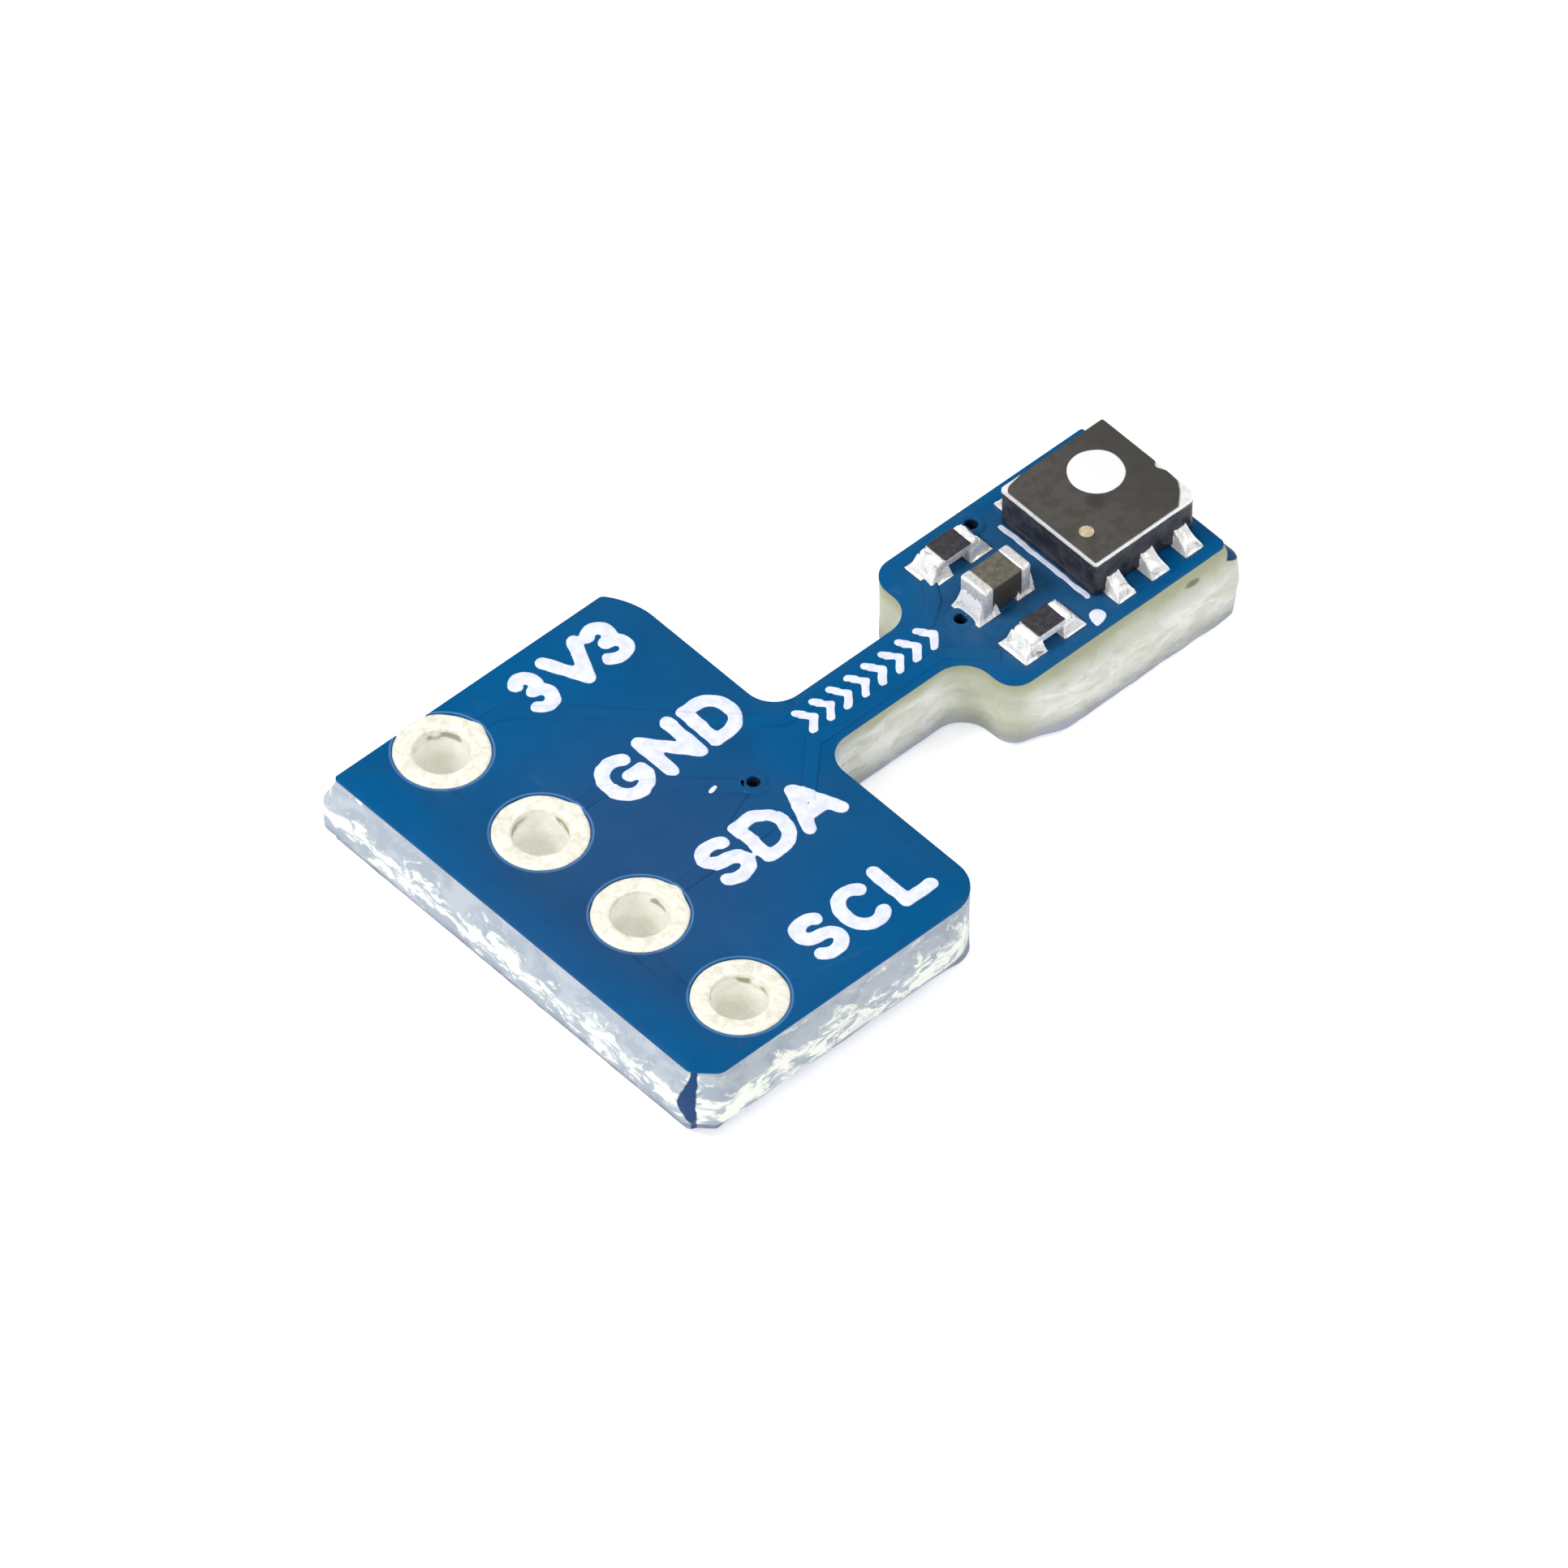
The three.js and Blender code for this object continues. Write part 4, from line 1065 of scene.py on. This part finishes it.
def makeSensor():
    shape = sensorShape
    corner, blunt = shape["corner"], shape["bluntCorner"]
    radii = (corner, blunt, corner, corner)
    low, high = boxOf("sensor_base")
    bm = bmesh.new()
    top, joint = high.z, low.z + shape["substrate"]
    stack(bm, rectShape(low, high, radii), [
        (0.018, low.z), (0.008, low.z + 0.012), (0.008, joint - 0.012), (0.012, joint), (shape["step"], joint + 0.03),
        (shape["step"], top - 0.03), (0.02, top - 0.008), (0.03, top),
    ])
    finishPiece(bm, "sensor_body", "moulding", ["sensor_base"], sharp=50)

    lidLow, lidHigh = boxOf("sensor_lid")
    coatLow, coatHigh = boxOf("sensor_lid_coat")
    membrane = middleOf("sensor_membrane")
    membraneHalf = spanOf("sensor_membrane").x / 2
    dot, dotHalf = middleOf("sensor_pin1_dot"), spanOf("sensor_pin1_dot").x / 2
    bm = bmesh.new()
    x0, y0, x1, y1 = lidLow.x, lidLow.y, lidHigh.x, lidHigh.y
    outlineLoop(bm, [(x0, y0, corner), (x1, y0, blunt), (x1, y1, corner), (x0, y1, corner)], lidLow.z, 6)
    circleLoop(bm, membrane.x, membrane.y, 0.35, lidLow.z, 40)
    plate(bm, lidLow.z - 0.004, lidHigh.z)
    bevelled(bm, rimEdges(bm, lidHigh.z), 0.03, 3)
    finishPiece(bm, "sensor_cap", "lid", ["sensor_lid"], sharp=50)

    rim = shape["rim"]
    a0, b0, a1, b1 = x0 + rim, y0 + rim, x1 - 0.02, y1 - 0.02
    clipX, clipY = shape["clip"]
    notchDeep, notchHalf = shape["notch"]
    notchAt = shape["notchAt"]
    bm = bmesh.new()
    outlineLoop(bm, [
        (a0, b0, 0.03), (a1 - clipX - 0.06, b0, 0.03), (a1 - 0.17, b0 + clipY - 0.13, 0.05),
        (a1 - 0.03, b0 + clipY + 0.07, 0.04),
        (a1 - 0.01, notchAt - notchHalf - 0.05, 0.03), (a1 - notchDeep, notchAt, 0.03),
        (a1 - notchDeep + 0.02, notchAt + notchHalf * 0.6, 0.02), (a1, notchAt + notchHalf, 0.02),
        (a1, b1, 0.04), (a0 + 0.46, b1, 0.05), (a0 + 0.10, b1 - 0.06, 0.04), (a0, b1 - 0.14, 0.04),
    ], coatLow.z, 5)
    circleLoop(bm, membrane.x, membrane.y, membraneHalf - 0.03, coatLow.z, 56)
    circleLoop(bm, dot.x, dot.y, dotHalf - 0.03, coatLow.z, 32)
    plate(bm, coatLow.z - 0.004, coatHigh.z)
    bevelled(bm, rimEdges(bm, coatHigh.z), 0.012, 2)
    finishPiece(bm, "sensor_cap_coat", "lidCoat", ["sensor_lid_coat"], sharp=50)

    low, high = boxOf("sensor_membrane")
    bm = bmesh.new()
    stack(bm, discShape(membrane, membraneHalf, 0.012, 2.0, 72), [
        (0.01, low.z), (0.0, high.z - 0.034), (0.006, high.z - 0.014), (0.022, high.z - 0.004), (0.05, high.z),
        (0.14, high.z + 0.003),
    ])
    finishPiece(bm, "sensor_filter_membrane", "membrane", ["sensor_membrane"], sharp=80)

    low, high = boxOf("sensor_pin1_dot")
    bm = bmesh.new()
    stack(bm, discShape(dot, dotHalf, 0.03, 5.0), [
        (0.01, low.z), (0.0, low.z + 0.014), (0.012, high.z - 0.010), (0.035, high.z - 0.002), (0.075, high.z + 0.002),
    ])
    finishPiece(bm, "sensor_first_pin_dot", "gold", ["sensor_pin1_dot"], sharp=80)


makeSensor()
print("sensor ready")


# ---- printed legends ----

legend = {
    "stroke": 0.29,
    "thick": 0.016,
    "wander": 0.022,
    "grain": 0.028,  # size of the cells that the strokes are melted together with
    "labels": {
        "3v3": (3.20, 4.29, [("3", 1.77, 2.45), ("V", 2.50, 3.53), ("3", 3.44, 4.18)]),
        "gnd": (0.65, 1.79, [("G", 1.39, 2.44), ("N", 2.48, 3.44), ("D", 3.52, 4.48)]),
        "sda": (-1.94, -0.78, [("S", 1.45, 2.35), ("D", 2.39, 3.38), ("A", 3.33, 4.36)]),
        "scl": (-4.28, -3.14, [("S", 1.50, 2.36), ("C", 2.41, 3.41), ("L", 3.45, 4.29)]),
    },
}


def arc(cx, cy, rx, ry, start, end, steps=14):
    angles = [math.radians(start + (end - start) * i / steps) for i in range(steps + 1)]
    return [(cx + rx * math.cos(a), cy + ry * math.sin(a)) for a in angles]


glyphs = {  # strokes in a box one wide and one high
    "3": [arc(0.42, 0.76, 0.46, 0.24, 145, -90) + arc(0.42, 0.26, 0.56, 0.26, 90, -145)],
    "V": [[(0, 1), (0.5, 0.02), (1, 1)]],
    "G": [arc(0.5, 0.5, 0.5, 0.5, 50, 340) + [(0.97, 0.46), (0.62, 0.46)]],
    "N": [[(0, 0), (0, 1), (1, 0), (1, 1)]],
    "D": [[(0, 0), (0, 1), (0.35, 1)] + arc(0.42, 0.5, 0.58, 0.5, 90, -90) + [(0, 0)]],
    "S": [arc(0.5, 0.75, 0.47, 0.25, 35, 270) + arc(0.5, 0.25, 0.5, 0.25, 90, -145)],
    "A": [[(0, 0), (0.5, 0.98), (1, 0)], [(0.22, 0.30), (0.78, 0.30)]],
    "C": [arc(0.5, 0.5, 0.5, 0.5, 48, 312)],
    "L": [[(0, 1), (0, 0), (1, 0)]],
}


def strokesOf(glyph, x0, x1, y0, y1, width):
    inset = width / 2
    w, h = x1 - x0 - width, y1 - y0 - width
    return [[(x0 + inset + x * w, y0 + inset + y * h) for x, y in line] for line in glyphs[glyph]]


def beads(bm, line, radius, spacing=0.35):
    """Balls along a line, close enough to melt into one stroke."""
    for (xa, ya), (xb, yb) in zip(line, line[1:] or line):
        count = max(1, math.ceil(math.hypot(xb - xa, yb - ya) / (radius * spacing)))
        for i in range(count + 1):
            spot = Matrix.Translation((xa + (xb - xa) * i / count, ya + (yb - ya) * i / count, 0))
            bmesh.ops.create_icosphere(bm, subdivisions=2, radius=radius, matrix=spot)


def printed(name, lines, replaced=(), thick=None, grain=None):
    """Lines given as (points, radius), melted into one body and pressed flat on the mask."""
    bm = bmesh.new()
    for line, radius in lines:
        beads(bm, line, radius)
    mesh = bpy.data.meshes.new("strokes")
    bm.to_mesh(mesh)
    bm.free()
    raw = bpy.data.objects.new("strokes", mesh)
    bpy.context.scene.collection.objects.link(raw)
    melt = raw.modifiers.new("melt", "REMESH")
    melt.mode = "VOXEL"
    melt.voxel_size = grain or legend["grain"]
    bpy.context.view_layer.update()
    melted = bpy.data.meshes.new_from_object(raw.evaluated_get(bpy.context.evaluated_depsgraph_get()))
    bpy.data.objects.remove(raw)
    bm = bmesh.new()
    bm.from_mesh(melted)
    bmesh.ops.smooth_vert(bm, verts=bm.verts, factor=0.5, use_axis_x=True, use_axis_y=True, use_axis_z=True)
    tallest = max(vert.co.z for vert in bm.verts)
    for vert in bm.verts:
        share = min(1.0, abs(vert.co.z) / tallest)
        wander = noise.noise_vector(Vector((vert.co.x * 4.5, vert.co.y * 4.5, 3.0)))
        vert.co.xy += wander.xy * legend["wander"]
        plump = 1 - (1 - share) ** 2.4
        lift = plump * (thick or legend["thick"])
        vert.co.z = faceZ + (reliefAt(*vert.co.xy) + lift if vert.co.z > 0 else -0.3 * lift)
    finishPiece(bm, name, "ink", replaced, sharp=180, merge=0.00001)


def makeLegends():
    width = legend["stroke"]
    for label, (y0, y1, letters) in legend["labels"].items():
        lines = []
        for glyph, x0, x1 in letters:
            lines += [(line, width / 2) for line in strokesOf(glyph, x0, x1, y0, y1, width)]
        printed(f"legend_{label}", lines, thick=0.022)
    chevrons = []
    for i in range(8):
        x = 5.06 + i * 0.405
        chevrons.append(([(x, -0.17), (x + 0.22, 0.065), (x, 0.30)], 0.08))
    printed("neck_chevrons", chevrons, grain=0.02)
    printed("ink_speck", [([(2.80, -0.02), (2.89, -0.02)], 0.045)], grain=0.012)
    low, high = boxOf("ink_sensor_line")
    x, r = (low.x + high.x) / 2, (high.x - low.x) / 2
    printed("sensor_side_line", [([(x, low.y + r), (x, high.y - r)], r)], ["ink_sensor_line"], 0.018, 0.014)
    mark = middleOf("ink_pin1_mark")
    toward = Vector((-0.676, -0.737))
    blob = [([(mark.x + toward.x * k, mark.y + toward.y * k)], r) for k, r in
            ((-0.03, 0.15), (0.05, 0.12), (0.12, 0.08), (0.17, 0.05))]
    printed("first_pin_mark", blob, ["ink_pin1_mark"], 0.02, 0.014)


makeLegends()
print("legends ready")

# ---- CAD nodes that keep their shape ----

kept = {
    "copper_": "copper",
    # the via barrels take the painted-shade lining
    "via_": "viaShadeLining",
    "sensor_terminal_": "endCap",
    "sensor_thermal_pad": "tin",
    "sensor_thermal_solder": "solder",
    "sensor_asic_die": "silicon",
    "sensor_hotplate_die": "silicon",
}
for nodeName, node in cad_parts.items():
    for prefix, look in kept.items():
        if nodeName.startswith(prefix):
            for materialSlot in node.material_slots:
                materialSlot.material = looks[look]
print("kept nodes ready")
